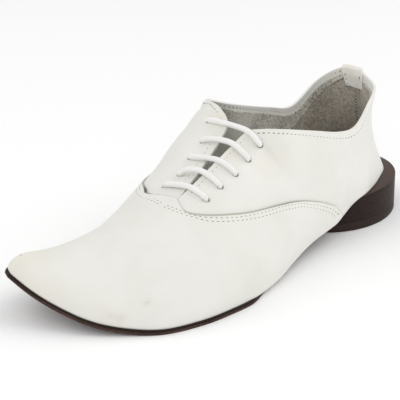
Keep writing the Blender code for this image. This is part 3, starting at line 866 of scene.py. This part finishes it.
# Painted shade on the raw edge: the gap where the inner scallop stands off the quarter, and the
# outer side's edge line.
paint(vamp, "edge_shade", [
    (skin("medial", 6.90, 0.75), 8.0, 1.0),
    (skin("lateral", 10.4, 0.41), 18.0, 0.4),
])
paint(vamp, "handled", [
    (skin("lateral", 0.3, 0.5), 16.0, 0.15),
    (skin("lateral", 1.6, 0.12), 12.0, 0.14),
    (skin("lateral", 3.4, 0.08), 12.0, 0.12),
    (skin("lateral", 7.93, 0.172), 12.0, 0.1),
    (skin("medial", 2.0, 0.3), 14.0, 0.2),
])
paint(vamp, "scuffed", [
    (skin("lateral", 4.67, 0.258), 1.7, 0.75),
    (skin("lateral", 3.85, 0.11), 2.8, 0.4),
    (skin("lateral", 3.6, 0.13), 2.0, 0.32),
    (skin("lateral", 0.7, 0.62), 3.0, 0.15),
])

# Stitches: white thread, locked every few millimetres. Two rows hold the vamp, and one row
# along throat and collar shows on the facing as well. Grey thread holds the heel grip by two
# rows a side and closes the back seam inside with a zigzag.
STITCH_PITCH = 3.2
STITCH_SIZE = (1.9, 0.6, 0.5)
STITCH_SINK = 0.12
NEEDLE_HOLE = (1.9, 0.8, 0.3)
BEAD_SEGMENTS = (8, 6)
ROW_SAMPLES = 400
ROW_POINTS = 60
RIM_ROW_ENDS = (7.35, LAST_ROW - 0.05)
RIM_ROW_DROP = 3.6
FACING_ROW_DROP = 2.0
VAMP_ROWS = {
    "lateral": [
        [(6.40, 1.0), (6.50, 0.93), (6.64, 0.851), (6.83, 0.789), (7.22, 0.708), (7.80, 0.621),
         (8.53, 0.536), (9.32, 0.464), (10.55, 0.378), (11.82, 0.321), (12.72, 0.270),
         (13.34, 0.197), (13.70, 0.104)],
        [(6.25, 1.0), (6.36, 0.93), (6.50, 0.858), (6.77, 0.774), (7.12, 0.690), (7.74, 0.600),
         (8.48, 0.515), (9.26, 0.443), (10.45, 0.357), (11.72, 0.300), (12.60, 0.245),
         (13.22, 0.172), (13.55, 0.091)],
    ],
    "medial": [
        [(6.40, 1.0), (6.46, 0.90), (6.56, 0.80), (6.82, 0.70), (7.30, 0.592), (7.85, 0.492),
         (8.5, 0.422), (9.3, 0.378), (10.5, 0.333), (11.8, 0.296), (12.7, 0.252),
         (13.34, 0.185), (13.70, 0.104)],
        [(6.25, 1.0), (6.32, 0.90), (6.42, 0.79), (6.70, 0.68), (7.18, 0.572), (7.75, 0.472),
         (8.45, 0.401), (9.25, 0.356), (10.4, 0.313), (11.7, 0.275), (12.55, 0.230),
         (13.2, 0.165), (13.55, 0.091)],
    ],
}
GRIP_ROW_SHIFTS = (0.12, 0.3)
SEAM_ROWS = (18.58, 18.74)
SEAM_TOP = 0.80
SEAM_FOOT = 0.45
SEAM_STITCHES = 13
THREAD_MM = 0.8
PIERCED_MM = 2.0
THREAD_WHITE = ("#DDDCD5", "#ECEBE6")
THREAD_GREY = ("#6E695F", "#8A857A")
HOLE_SHADE_GREY = ("#7A766C", "#8F8B81")
HOLE_SHADE_BROWN = ("#3E3A34", "#4C4740")


def skin_row(side, places, height):
    """Points and normals of a line over the outer face, raised by a height."""
    at = catmull(np.array(places), np.linspace(0, len(places) - 1, ROW_SAMPLES))
    normals = skin_normal(side, at[:, 0], at[:, 1])
    return skin(side, at[:, 0], at[:, 1]) + normals * height, normals


def at_lengths(ticks, length, values):
    """Values of a line, one row a point, at other lengths along it."""
    return np.stack([np.interp(ticks, length, column) for column in values.T], -1)


def row_track(points, normals):
    """Evenly spaced points, directions and normals along a row of stitches."""
    length = run_length(points)
    ticks = np.arange(STITCH_PITCH / 2, length[-1], STITCH_PITCH)
    ways = np.gradient(points, axis=0)
    return zip(*(at_lengths(ticks, length, values) for values in (points, ways, normals)))


def bead_mesh(size):
    """Small long bead, the shape of one stitch or of one needle hole."""
    bm = bmesh.new()
    bmesh.ops.create_uvsphere(bm, u_segments=BEAD_SEGMENTS[0],
                              v_segments=BEAD_SEGMENTS[1], radius=0.5 * MM)
    bmesh.ops.scale(bm, vec=size, verts=bm.verts[:])
    mesh = bpy.data.meshes.new("bead")
    bm.to_mesh(mesh)
    bm.free()
    return mesh


def sew(threads, holes, track):
    """Adds a stitch and the needle hole after it at each point of a track."""
    for p, along, up in track:
        up = Vector(up).normalized()
        along = Vector(along).normalized()
        aside = up.cross(along).normalized()
        basis = Matrix((along, aside, along.cross(aside))).transposed().to_4x4()
        for bm, bead, shift in ((threads, stitch_bead, 0.0), (holes, hole_bead, STITCH_PITCH / 2)):
            centre = Vector(p) + along * shift - up * STITCH_SINK
            sewn = bead.copy()
            sewn.transform(Matrix.Translation(centre * MM) @ basis)
            bm.from_mesh(sewn)
            bpy.data.meshes.remove(sewn)


def two_tone(name, tones, cell, values, detail=3.0, relief=0.05):
    """Finish that drifts between a dark and a pale tone over cells of a real size."""
    material, where = new_material(name)
    drift = add_node(material, "TexNoise",
                     {"Scale": 1 / (cell * MM), "Detail": detail}, {"Vector": where})
    tone = add_node(material, "Mix",
                    {"data_type": "RGBA", 6: linear(tones[0]), 7: linear(tones[1])},
                    {0: drift.outputs["Fac"]})
    set_shader(material, values, tone.outputs[2], drift.outputs["Fac"], depth=relief)
    return material


stitch_bead = bead_mesh(STITCH_SIZE)
hole_bead = bead_mesh(NEEDLE_HOLE)

# Bonded polyester thread, white on the upper and grey on the suede. Each needle hole is a dark
# bead, painted with the shade inside the hole.
thread_white = two_tone("white_bonded_thread", THREAD_WHITE, THREAD_MM, {"Roughness": 0.6})
thread_grey = two_tone("grey_bonded_thread", THREAD_GREY, THREAD_MM, {"Roughness": 0.6})
hole_shade = two_tone("needle_hole_shade", HOLE_SHADE_GREY, PIERCED_MM, {"Roughness": 0.9})
suede_hole_shade = two_tone("suede_hole_shade", HOLE_SHADE_BROWN, PIERCED_MM, {"Roughness": 0.9})

threads = bmesh.new()
holes = bmesh.new()
grip_threads = bmesh.new()
grip_holes = bmesh.new()
for side in SIDES:
    for places in VAMP_ROWS[side]:
        sew(threads, holes, row_track(*skin_row(side, places, VAMP_FACE)))
    rows = np.linspace(*RIM_ROW_ENDS, ROW_POINTS)
    rim = np.stack([rows, below_rim(side, rows, RIM_ROW_DROP)], -1)
    sew(threads, holes, row_track(*skin_row(side, rim, 0.0)))
    rim = np.stack([rows, below_rim(side, rows, FACING_ROW_DROP)], -1)
    face, normals = skin_row(side, rim, -WALL)
    sew(threads, holes, row_track(face, -normals))
    for shift in GRIP_ROW_SHIFTS:
        edge = GRIP_FRONT[2:] + (shift, 0.0)
        face, normals = skin_row(side, edge, -GRIP_FACE - GRIP_THICK)
        sew(grip_threads, grip_holes, row_track(face, -normals))
zigzag = np.linspace(SEAM_TOP, SEAM_FOOT, SEAM_STITCHES)
ends = [skin("medial", u, zigzag) for u in SEAM_ROWS]
middle = (SEAM_ROWS[0] + SEAM_ROWS[1]) / 2
inward = -skin_normal("medial", middle, zigzag)
centres = (ends[0] + ends[1]) / 2 + inward * (GRIP_FACE + GRIP_THICK)
slants = ends[1] - ends[0] - UP
sew(grip_threads, grip_holes, zip(centres, slants, inward))
finish_piece(threads, "stitch_threads", thread_white, "upper_leather")
finish_piece(holes, "needle_holes", hole_shade, "upper_leather")
finish_piece(grip_threads, "grip_threads", thread_grey, "insole_leather")
finish_piece(grip_holes, "grip_needle_holes", suede_hole_shade, "insole_leather")

# Outsole: dark brown sole leather, 3 mm, in two layers: a thin rand that the upper is sewn
# to and the wearing sole below it. Its edge is trimmed, inked and waxed.
SOLE_PROUD = 2.0
SOLE_TUCK = 4.0
SOLE_ROWS = (0.0, 18.5)
SOLE_GRID = (200, 26)
RAND_THICK = 1.4
RAND_INSET = 0.35
RAND_LAP = 0.2
RAND_ROUND = 0.25
SOLE_ROUND = 0.6
SOLE_BROWN = "#4E372E"
SOLE_DARK = "#33221B"
RAND_SHADED_BROWN = ("#1C120E", "#2C1D17")
FIBRE_MM = 2.2
FIBRE_DEPTH = 0.12
STAIN_MM = 18.0


def sole_inset(u):
    return -SOLE_PROUD + (SOLE_PROUD + SOLE_TUCK) * smooth(*WAIST_ROWS, u)


def rand_inset(u):
    return sole_inset(u) + RAND_INSET


# Inked and waxed sole leather: dark brown, half gloss, mottled by its fibres, which are drawn
# coarser than real ones, so that they show.
sole_leather, where = new_material("waxed_sole_leather")
fibre = add_node(sole_leather, "TexNoise",
                 {"Scale": 1 / (FIBRE_MM * MM), "Detail": 5.0, "Roughness": 0.6},
                 {"Vector": where})
stain = add_node(sole_leather, "TexNoise",
                 {"Scale": 1 / (STAIN_MM * MM), "Detail": 3.0}, {"Vector": where})
both = add_node(sole_leather, "Math", {"operation": "MULTIPLY"},
                {0: fibre.outputs["Fac"], 1: stain.outputs["Fac"]})
share = add_node(sole_leather, "MapRange", {"From Min": 0.12, "From Max": 0.4},
                 {"Value": both.outputs["Value"]})
tone = add_node(sole_leather, "Mix",
                {"data_type": "RGBA", 6: linear(SOLE_DARK), 7: linear(SOLE_BROWN)},
                {0: share.outputs["Result"]})
set_shader(sole_leather, {"Roughness": 0.5, "Specular IOR Level": 0.25}, tone.outputs[2],
           fibre.outputs["Fac"], strength=0.25, depth=FIBRE_DEPTH)

# The rand is the same leather, drawn darker: painted shade along the top of the sole's edge, under
# the upper.
rand_leather = two_tone("rand_leather_painted_shade", RAND_SHADED_BROWN, FIBRE_MM,
                        {"Roughness": 0.55, "Specular IOR Level": 0.2}, detail=4.0, relief=0.0)

WEARING_THICK = SOLE_THICK - RAND_THICK
for name, inset, top, thick, edge_round, material in (
        ("sole_rand", rand_inset, SOLE_THICK, RAND_THICK + RAND_LAP, RAND_ROUND, rand_leather),
        ("wearing_sole", sole_inset, WEARING_THICK, WEARING_THICK, SOLE_ROUND, sole_leather)):
    bm = bmesh.new()
    lay_grid(bm, *SOLE_GRID, plate_points(inset, SOLE_ROWS, top))
    bmesh.ops.remove_doubles(bm, verts=bm.verts[:], dist=WELD * MM)
    bm.normal_update()
    thicken(bm, thick, edge_round, segments=3)
    finish_piece(bm, name, material, "sole_leather", "outsole")

# Heel: lifts of sole leather pegged and glued in a stack, trimmed to a round that stands
# proud of the upper, its top hollowed to the sole. Fine lines show where the lifts meet.
heel_low, heel_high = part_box("heel_stack")
HEEL_HALF_WIDTH = heel_high[0] / MM
HEEL_HALF_LENGTH = heel_high[1] / MM
STACK_BASE = heel_low[2] / MM
LIFTS = 6
LIFT_GROOVE = 0.3
GROOVE_DEPTH = 0.28
HEEL_SEGMENTS = 128
RIM_ROUND = 0.5
RIM_DEEP = 1.2
RIM_ANGLE = math.radians(60)
FLAT_ANGLE = math.radians(0.5)
HEEL_SHARP = math.radians(35)
FINE_WELD = 0.01
SEAT_SPARE = 2.0
SEAT_SPAN = HEEL_HALF_LENGTH + 6.0
SEAT_DEPTH = 20.0
SEAT_GRID = (60, 2)
HEEL_DARK = "#170D0A"
HEEL_BROWN = "#2E1E19"
HEEL_TOP_BROWN = "#4C3E37"
STREAK_MM = 9.0
STREAK_FLAT = 14.0
STREAK_DEPTH = 0.1


def turned(profile):
    """Spins a profile of radius shares and heights into the oval of the heel."""
    bm = bmesh.new()
    made = [bm.verts.new((r * HEEL_HALF_LENGTH * MM, 0.0, z * MM)) for r, z in profile]
    edges = [bm.edges.new(pair) for pair in zip(made, made[1:])]
    bmesh.ops.spin(bm, geom=made + edges, cent=(0, 0, 0), axis=(0, 0, 1),
                   angle=2 * math.pi, steps=HEEL_SEGMENTS, use_merge=True)
    bmesh.ops.remove_doubles(bm, verts=bm.verts[:], dist=FINE_WELD * MM)
    bmesh.ops.scale(bm, vec=(HEEL_HALF_WIDTH / HEEL_HALF_LENGTH, 1.0, 1.0), verts=bm.verts[:])
    bmesh.ops.recalc_face_normals(bm, faces=bm.faces[:])
    return bm


# Stacked heel leather: dark ink, a paler brown on the faces that look up, and streaked round the
# side by the trimming wheel.
heel_leather, where = new_material("stacked_heel_leather")
flat = add_node(heel_leather, "Mapping", {"Scale": (1.0, 1.0, STREAK_FLAT)},
                {"Vector": where})
streak = add_node(heel_leather, "TexNoise",
                  {"Scale": 1 / (STREAK_MM * MM), "Detail": 5.0, "Roughness": 0.6},
                  {"Vector": flat.outputs["Vector"]})
tone = add_node(heel_leather, "Mix",
                {"data_type": "RGBA", 6: linear(HEEL_DARK), 7: linear(HEEL_BROWN)},
                {0: streak.outputs["Fac"]})
facing = add_node(heel_leather, "NewGeometry")
axis = add_node(heel_leather, "SeparateXYZ", None, {0: facing.outputs["Normal"]})
top_share = add_node(heel_leather, "MapRange",
                     {"From Min": 0.6, "From Max": 0.95}, {"Value": axis.outputs["Z"]})
upward_tone = add_node(heel_leather, "Mix", {"data_type": "RGBA", 7: linear(HEEL_TOP_BROWN)},
                {0: top_share.outputs["Result"], 6: tone.outputs[2]})
set_shader(heel_leather, {"Roughness": 0.5, "Specular IOR Level": 0.2}, upward_tone.outputs[2],
           streak.outputs["Fac"], depth=STREAK_DEPTH)


def seat_place(along, across):
    y = SEAT_SPAN * (2 * along - 1)
    x = SEAT_SPAN * (1 - 2 * across)
    return np.stack([x, y, under(0 * x, y) - GAP], -1)


lift_thick = (HEEL_HEIGHT - GAP - STACK_BASE) / LIFTS
inner = 1.0 - GROOVE_DEPTH / HEEL_HALF_LENGTH
profile = [(0.0, STACK_BASE), (inner, STACK_BASE)]
for lift in range(LIFTS):
    z = STACK_BASE + lift * lift_thick
    top = z + lift_thick
    profile += [(1.0, z + LIFT_GROOVE), (1.0, top - LIFT_GROOVE / 2), (inner, top)]
profile[-1] = (1.0, HEEL_HEIGHT + SEAT_SPARE)
profile.append((0.0, HEEL_HEIGHT + SEAT_SPARE))
heel = finish_piece(turned(profile), "heel_lifts", heel_leather, "heel_leather", "heel_stack")

# The hollow for the sole is cut with a block whose lower face follows the sole.
bm = bmesh.new()
lay_grid(bm, *SEAT_GRID, seat_place)
bm.normal_update()
bmesh.ops.solidify(bm, geom=bm.faces[:], thickness=-SEAT_DEPTH * MM)
bmesh.ops.recalc_face_normals(bm, faces=bm.faces[:])
cut_away(heel, bm)
bm = bmesh.new()
bm.from_mesh(heel.data)
bmesh.ops.remove_doubles(bm, verts=bm.verts[:], dist=FINE_WELD * MM)
bmesh.ops.dissolve_limit(bm, angle_limit=FLAT_ANGLE, verts=bm.verts[:], edges=bm.edges[:])
rim = [e for e in bm.edges if len(e.link_faces) == 2 and e.calc_face_angle() > RIM_ANGLE
       and max(v.co.z for v in e.verts) > (HEEL_HEIGHT - RIM_DEEP) * MM]
bmesh.ops.bevel(bm, geom=rim, offset=RIM_ROUND * MM, affect="EDGES", segments=2, profile=0.5,
                material=-1, clamp_overlap=True)
bm.to_mesh(heel.data)
bm.free()
heel.data.shade_smooth()
heel.data.set_sharp_from_angle(angle=HEEL_SHARP)

# Top piece: the one thicker layer that meets the floor, a disc of moulded rubber with a
# rounded edge, glued and nailed under the stack.
TOP_PIECE_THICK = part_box("heel_top_piece")[1][2] / MM
TOP_PIECE_ROUND = 0.8
ROUND_SHARE = TOP_PIECE_ROUND / HEEL_HALF_LENGTH
ROUND_MIDDLE = 0.3
TOP_PIECE_PROFILE = [
    # radius share, height
    (0.0, 0.0),
    (1.0 - ROUND_SHARE, 0.0),
    (1.0 - ROUND_MIDDLE * ROUND_SHARE, ROUND_MIDDLE * TOP_PIECE_ROUND),
    (1.0, TOP_PIECE_ROUND),
    (1.0, TOP_PIECE_THICK),
    (inner, TOP_PIECE_THICK + GAP),
    (0.0, TOP_PIECE_THICK + GAP),
]
TOP_PIECE_SHARP = math.radians(50)
RUBBER_BROWN = ("#251915", "#34251F")
BLOOM_MM = 6.0

# Moulded heel rubber: dark brown, matt, with a faint bloom.
heel_rubber = two_tone("moulded_heel_rubber", RUBBER_BROWN, BLOOM_MM,
                       {"Roughness": 0.55, "Specular IOR Level": 0.25}, detail=4.0, relief=0.0)
top_piece = finish_piece(turned(TOP_PIECE_PROFILE), "heel_top_lift", heel_rubber, "heel_rubber",
                         "heel_top_piece")
top_piece.data.set_sharp_from_angle(angle=TOP_PIECE_SHARP)

# Pull tab: a strip of white leather with turned edges, folded over the collar's rim at the
# back and sewn down along its sides and ends. Its back half stands off the collar.
TAB_TOP_ROWS = (18.06, 19.03)
TAB_FOOT_ROWS = (18.28, 19.11)
TAB_MIDDLE = 18.6
TAB_DROP = 10.2
TAB_THICK = 1.3
TAB_ROUND = 0.45
TAB_LOOP = 1.5
TAB_STAND = 1.6
TAB_STAND_LEAST = 0.4
TAB_STAND_ALONG = (0.2, 1.0)
TAB_STAND_AROUND = (0.5, 0.75)
TAB_GRID = (14, 46)
TAB_END = 0.44
TAB_SEAM = 0.12
TAB_SIDE_SPANS = ((0.04, 0.4), (0.6, 0.96))
TAB_END_ROWS = (0.06, 0.94)


def tab_place(along, around):
    """Along the tab's width, and around from its outer end over the rim to its inner end."""
    side = "medial"
    down = np.maximum(1 - around / TAB_END, 1 - (1 - around) / TAB_END)
    down = np.maximum(down, 0.0)
    first, last = (a + (b - a) * down for a, b in zip(TAB_TOP_ROWS, TAB_FOOT_ROWS))
    u = first + (last - first) * along
    t = 1 - TAB_DROP * down / rib_length(side, np.minimum(u, LAST_ROW))
    n = skin_normal(side, TAB_MIDDLE, t)
    bend = np.clip((around - TAB_END) / (1 - 2 * TAB_END), 0.0, 1.0) * math.pi
    reach = WALL / 2 + GAP + TAB_THICK
    stand = TAB_STAND_LEAST + (1 - TAB_STAND_LEAST) * smooth(*TAB_STAND_ALONG, along)
    stand = TAB_STAND * stand * smooth(*TAB_STAND_AROUND, around)
    across = -WALL / 2 + reach * np.cos(bend) - stand
    lift = TAB_LOOP * np.sin(bend) + GAP
    return wrapped(side, u, t) + n * across[:, None] + UP * lift[:, None]


def tab_row(along, around):
    """Points and normals of a stitch row on the tab."""
    along, around = np.broadcast_arrays(np.asarray(along, float), np.asarray(around, float))
    across = tab_place(along + SKIN_REACH, around) - tab_place(along - SKIN_REACH, around)
    onward = tab_place(along, around + SKIN_REACH) - tab_place(along, around - SKIN_REACH)
    return tab_place(along, around), unit(np.cross(onward, across))


bm = bmesh.new()
lay_grid(bm, *TAB_GRID, tab_place)
bmesh.ops.reverse_faces(bm, faces=bm.faces[:])
bm.normal_update()
thicken(bm, TAB_THICK, TAB_ROUND, segments=3)
tab = finish_piece(bm, "pull_tab", white_calf, "tab_leather", "heel_tab")
paint(tab, "handled", [(skin("medial", 18.5, 0.97), 7.0, 0.25)])
paint(tab, "scuffed", [])

threads = bmesh.new()
holes = bmesh.new()
for along in (TAB_SEAM, 1 - TAB_SEAM):
    for span in TAB_SIDE_SPANS:
        sew(threads, holes, row_track(*tab_row(along, np.linspace(*span, ROW_POINTS))))
for around in TAB_END_ROWS:
    width = np.linspace(TAB_SEAM, 1 - TAB_SEAM, ROW_POINTS)
    sew(threads, holes, row_track(*tab_row(width, around)))
finish_piece(threads, "tab_threads", thread_white, "tab_leather")
finish_piece(holes, "tab_needle_holes", hole_shade, "tab_leather")

# Lace: one round braided cotton cord. It crosses the throat at each pair of eyelets and runs
# inside the quarters from bar to bar. Both ends stop inside, below the top pair.
LACE_DIAMETER = 3.6
LACE_SQUEEZED = 2.8
LACE_SQUEEZE_REACH = 1.6
LACE_BED = 0.15
LACE_RISE = LACE_DIAMETER / 2 - LACE_BED
LACE_PULL = 0.5
LACE_FREE = 0.2
LACE_INSIDE = LINING_FACE + LINING_THICK + LACE_DIAMETER / 2 + LACE_FREE
BAR_SHARES = np.linspace(0.22, 0.98, 8)
BAR_ARCH = (0.8, 1.9, 0.0, 2.3, 0.6)
TIGHTEN_PASSES = 80
EASE_PASSES = 6
HOLE_HEIGHTS = (0.9, -0.8, -2.6)
INSIDE_SHARES = np.array([0.18, 0.35, 0.5, 0.65, 0.82])
INSIDE_SWAY = 0.022
LACE_SAMPLES = 4000
LACE_SIDES = 14
LACE_STEP = 0.6
BRAID_MM = 1.5
BRAID_STRANDS = 8
BRAID_DEPTH = 0.1
LACE_WHITE = "#F3F2F0"
LACE_SHADE = "#E9E8E4"
LACE_ROUTE = [
    # side and pair of the eyelets, in the order in which the cord goes through them
    ("lateral", 1), ("medial", 1), ("medial", 3), ("lateral", 3), ("lateral", 4),
    ("medial", 4), ("medial", 2), ("lateral", 2), ("lateral", 0), ("medial", 0),
]


def bar_points(pair, first):
    """Over the upper from one eyelet to the other, drawn tight over both throat edges."""
    halves = []
    for side in SIDES:
        u, t = EYELETS[side][pair]
        shares = t + (1 - t) * BAR_SHARES
        rows = np.full_like(shares, u)
        halves.append(skin(side, rows, shares) + skin_normal(side, rows, shares) * LACE_RISE)
    line = np.concatenate([halves[0], halves[1][::-1]])
    for _ in range(TIGHTEN_PASSES):
        mean = (line[:-2] + line[2:]) / 2
        higher = mean[:, 2] > line[1:-1, 2]
        line[1:-1] = np.where(higher[:, None], mean, line[1:-1])
    for _ in range(EASE_PASSES):
        line[1:-1] = (line[:-2] + 2 * line[1:-1] + line[2:]) / 4
    from_inner = np.linspace(1.0, 0.0, len(line))
    line[:, 2] += BAR_ARCH[pair] * np.sin(math.pi * np.sqrt(from_inner))
    return line[::2] if first == "lateral" else line[::-2]


def hole_points(side, pair, going_in):
    """Down through an eyelet, from just above the leather to the inside."""
    u, t = EYELETS[side][pair]
    c = skin(side, u, t)
    n = skin_normal(side, u, t)
    c = c + unit(skin(side, u, t + ROW_REACH) - c) * LACE_PULL
    line = np.array([c + n * h for h in HOLE_HEIGHTS])
    return line if going_in else line[::-1]


def inside_points(side, pair_from, pair_to):
    """Along the inside of a quarter from one eyelet to the next."""
    a = np.array(EYELETS[side][pair_from])
    b = np.array(EYELETS[side][pair_to])
    sway = np.array([0.0, -INSIDE_SWAY if abs(pair_from - pair_to) > 1 else INSIDE_SWAY])
    bow = np.sin(math.pi * INSIDE_SHARES)[:, None]
    at = a + (b - a) * INSIDE_SHARES[:, None] + sway * bow
    n = skin_normal(side, at[:, 0], at[:, 1])
    return skin(side, at[:, 0], at[:, 1]) - n * LACE_INSIDE


def lace_path():
    start_side, start_pair = LACE_ROUTE[0]
    path = [inside_points(start_side, 0, start_pair)[1:]]
    for i, (side, pair) in enumerate(LACE_ROUTE):
        enters = i % 2 == 1
        path.append(hole_points(side, pair, enters))
        if i + 1 < len(LACE_ROUTE):
            next_side, next_pair = LACE_ROUTE[i + 1]
            if next_side != side:
                path.append(bar_points(pair, side))
            else:
                path.append(inside_points(side, pair, next_pair))
    end_side, end_pair = LACE_ROUTE[-1]
    path.append(inside_points(end_side, end_pair, 1)[:2])
    return np.concatenate(path)


def braided_cord(path, radius_at):
    """Round cord along a path: the bmesh, with a UV map along and around, and its length."""
    fine = catmull(path, np.linspace(0, len(path) - 1, LACE_SAMPLES))
    length = run_length(fine)
    count = int(length[-1] / LACE_STEP)
    track = at_lengths(np.linspace(0, length[-1], count + 1), length, fine)
    frames = []
    aside = Vector(track[1] - track[0]).orthogonal()
    for way in np.gradient(track, axis=0):
        way = Vector(way).normalized()
        aside = (aside - way * aside.dot(way)).normalized()
        frames.append((aside, way.cross(aside)))
    frames = np.array(frames)
    radius = np.array([radius_at(p) for p in track])[:, None]

    def place(along, around):
        i = np.rint(along * count).astype(int)
        turn = 2 * math.pi * around[:, None]
        ring = frames[i, 0] * np.cos(turn) + frames[i, 1] * np.sin(turn)
        return track[i] + ring * radius[i]

    bm = bmesh.new()
    bm.loops.layers.uv.new("braid")
    lay_grid(bm, count, LACE_SIDES, place)
    bmesh.ops.remove_doubles(bm, verts=bm.verts[:], dist=FINE_WELD * MM)
    ends = [e for e in bm.edges if e.is_boundary]
    bmesh.ops.holes_fill(bm, edges=ends, sides=LACE_SIDES)
    bmesh.ops.recalc_face_normals(bm, faces=bm.faces[:])
    return bm, length[-1]


EYELET_CENTRES = np.array([skin(*place) for place in EYELET_PLACES])


def lace_radius(p):
    gap = np.linalg.norm(EYELET_CENTRES - p, axis=1).min()
    squeeze = math.exp(-(gap / LACE_SQUEEZE_REACH) ** 2)
    return LACE_DIAMETER / 2 + (LACE_SQUEEZED - LACE_DIAMETER) / 2 * squeeze


lace_mesh, lace_length = braided_cord(lace_path(), lace_radius)

# Braided cotton: matt white, strands that cross at a slant both ways round the cord.
lace_cotton, _ = new_material("braided_white_cotton")
thread = add_node(lace_cotton, "UVMap", {"uv_map": "braid"})
split = add_node(lace_cotton, "SeparateXYZ", None, {0: thread.outputs["UV"]})
strands = []
for hand in (1.0, -1.0):
    turn = add_node(lace_cotton, "Math",
                    {"operation": "MULTIPLY", 1: hand * BRAID_STRANDS * 2 * math.pi},
                    {0: split.outputs["Y"]})
    run = add_node(lace_cotton, "Math",
                   {"operation": "MULTIPLY", 1: 2 * math.pi * lace_length / BRAID_MM},
                   {0: split.outputs["X"]})
    phase = add_node(lace_cotton, "Math", {"operation": "ADD"},
                     {0: turn.outputs[0], 1: run.outputs[0]})
    strands.append(add_node(lace_cotton, "Math", {"operation": "SINE"},
                            {0: phase.outputs[0]}))
woven = add_node(lace_cotton, "Math", {"operation": "MAXIMUM"},
                 {0: strands[0].outputs[0], 1: strands[1].outputs[0]})
lit = add_node(lace_cotton, "MapRange", {"From Min": -0.6, "From Max": 0.8},
               {"Value": woven.outputs[0]})
# Painted shade: the grooves between the strands are a shade darker than their crowns.
tone = add_node(lace_cotton, "Mix",
                {"data_type": "RGBA", 6: linear(LACE_SHADE), 7: linear(LACE_WHITE)},
                {0: lit.outputs["Result"]})
set_shader(lace_cotton, {"Roughness": 0.85, "Sheen Weight": 0.1}, tone.outputs[2],
           lit.outputs["Result"], depth=BRAID_DEPTH)

bars = [f"lace_bar_{i + 1}" for i in range(len(EYELETS["lateral"]))]
finish_piece(lace_mesh, "lace", lace_cotton, "lace_cotton", *bars)

# Studio: a pale floor that runs into a pale room, a soft light behind the heel, one at the
# camera's side and one over the inner side. The camera stands where the photo was taken.
FLOOR_HALF_METRES = 6.0
FLOOR_WHITE = "#FFFFFF"
ROOM_STRENGTH = 0.70
LIGHT_AIM = Vector((0.0, -0.1, 0.03))
LIGHTS = [
    # name, place and size in metres, power in watts
    ("back_panel", (0.6, 0.5, 0.9), 1.0, 3.8),
    ("front_panel", (0.75, -0.9, 0.75), 1.0, 2.2),
    ("inner_panel", (-0.8, -0.7, 0.9), 1.2, 3.4),
]
CAMERA_AZIMUTH = 45.0
CAMERA_ELEVATION = 24.44
CAMERA_DISTANCE = 1200.0
CAMERA_TARGET = (-7.73, -116.67, 40.0)
FOCAL_PIXELS = 1955.0
FRAME_PIXELS = 400
SENSOR = 36.0

bm = bmesh.new()
bmesh.ops.create_grid(bm, x_segments=1, y_segments=1, size=FLOOR_HALF_METRES)
floor = make_object(bm, "floor")
# Matt white paint: even and without gloss, so that only the soft shadow shows on it.
floor_white, _ = new_material("matt_white_paint")
set_shader(floor_white, {"Base Color": linear(FLOOR_WHITE), "Roughness": 0.9})
floor.data.materials.append(floor_white)

world = bpy.data.worlds.new("studio")
world.use_nodes = True
background = world.node_tree.nodes["Background"]
background.inputs["Color"].default_value = (1.0, 1.0, 1.0, 1.0)
background.inputs["Strength"].default_value = ROOM_STRENGTH
bpy.context.scene.world = world
bpy.context.scene.view_settings.view_transform = "Standard"

for name, place, size, power in LIGHTS:
    light = bpy.data.lights.new(name, "AREA")
    light.shape = "DISK"
    light.size = size
    light.energy = power
    lamp = bpy.data.objects.new(name, light)
    lamp.location = place
    lamp.rotation_euler = (LIGHT_AIM - Vector(place)).to_track_quat("-Z", "Y").to_euler()
    bpy.context.collection.objects.link(lamp)

azimuth = math.radians(CAMERA_AZIMUTH)
elevation = math.radians(CAMERA_ELEVATION)
back = Vector((math.sin(azimuth) * math.cos(elevation), -math.cos(azimuth) * math.cos(elevation),
               math.sin(elevation)))
camera = bpy.data.objects.new("camera", bpy.data.cameras.new("camera"))
camera.data.sensor_width = SENSOR
camera.data.lens = FOCAL_PIXELS / FRAME_PIXELS * SENSOR
camera.location = (Vector(CAMERA_TARGET) + back * CAMERA_DISTANCE) * MM
camera.rotation_euler = (-back).to_track_quat("-Z", "Y").to_euler()
bpy.context.collection.objects.link(camera)
bpy.context.scene.camera = camera
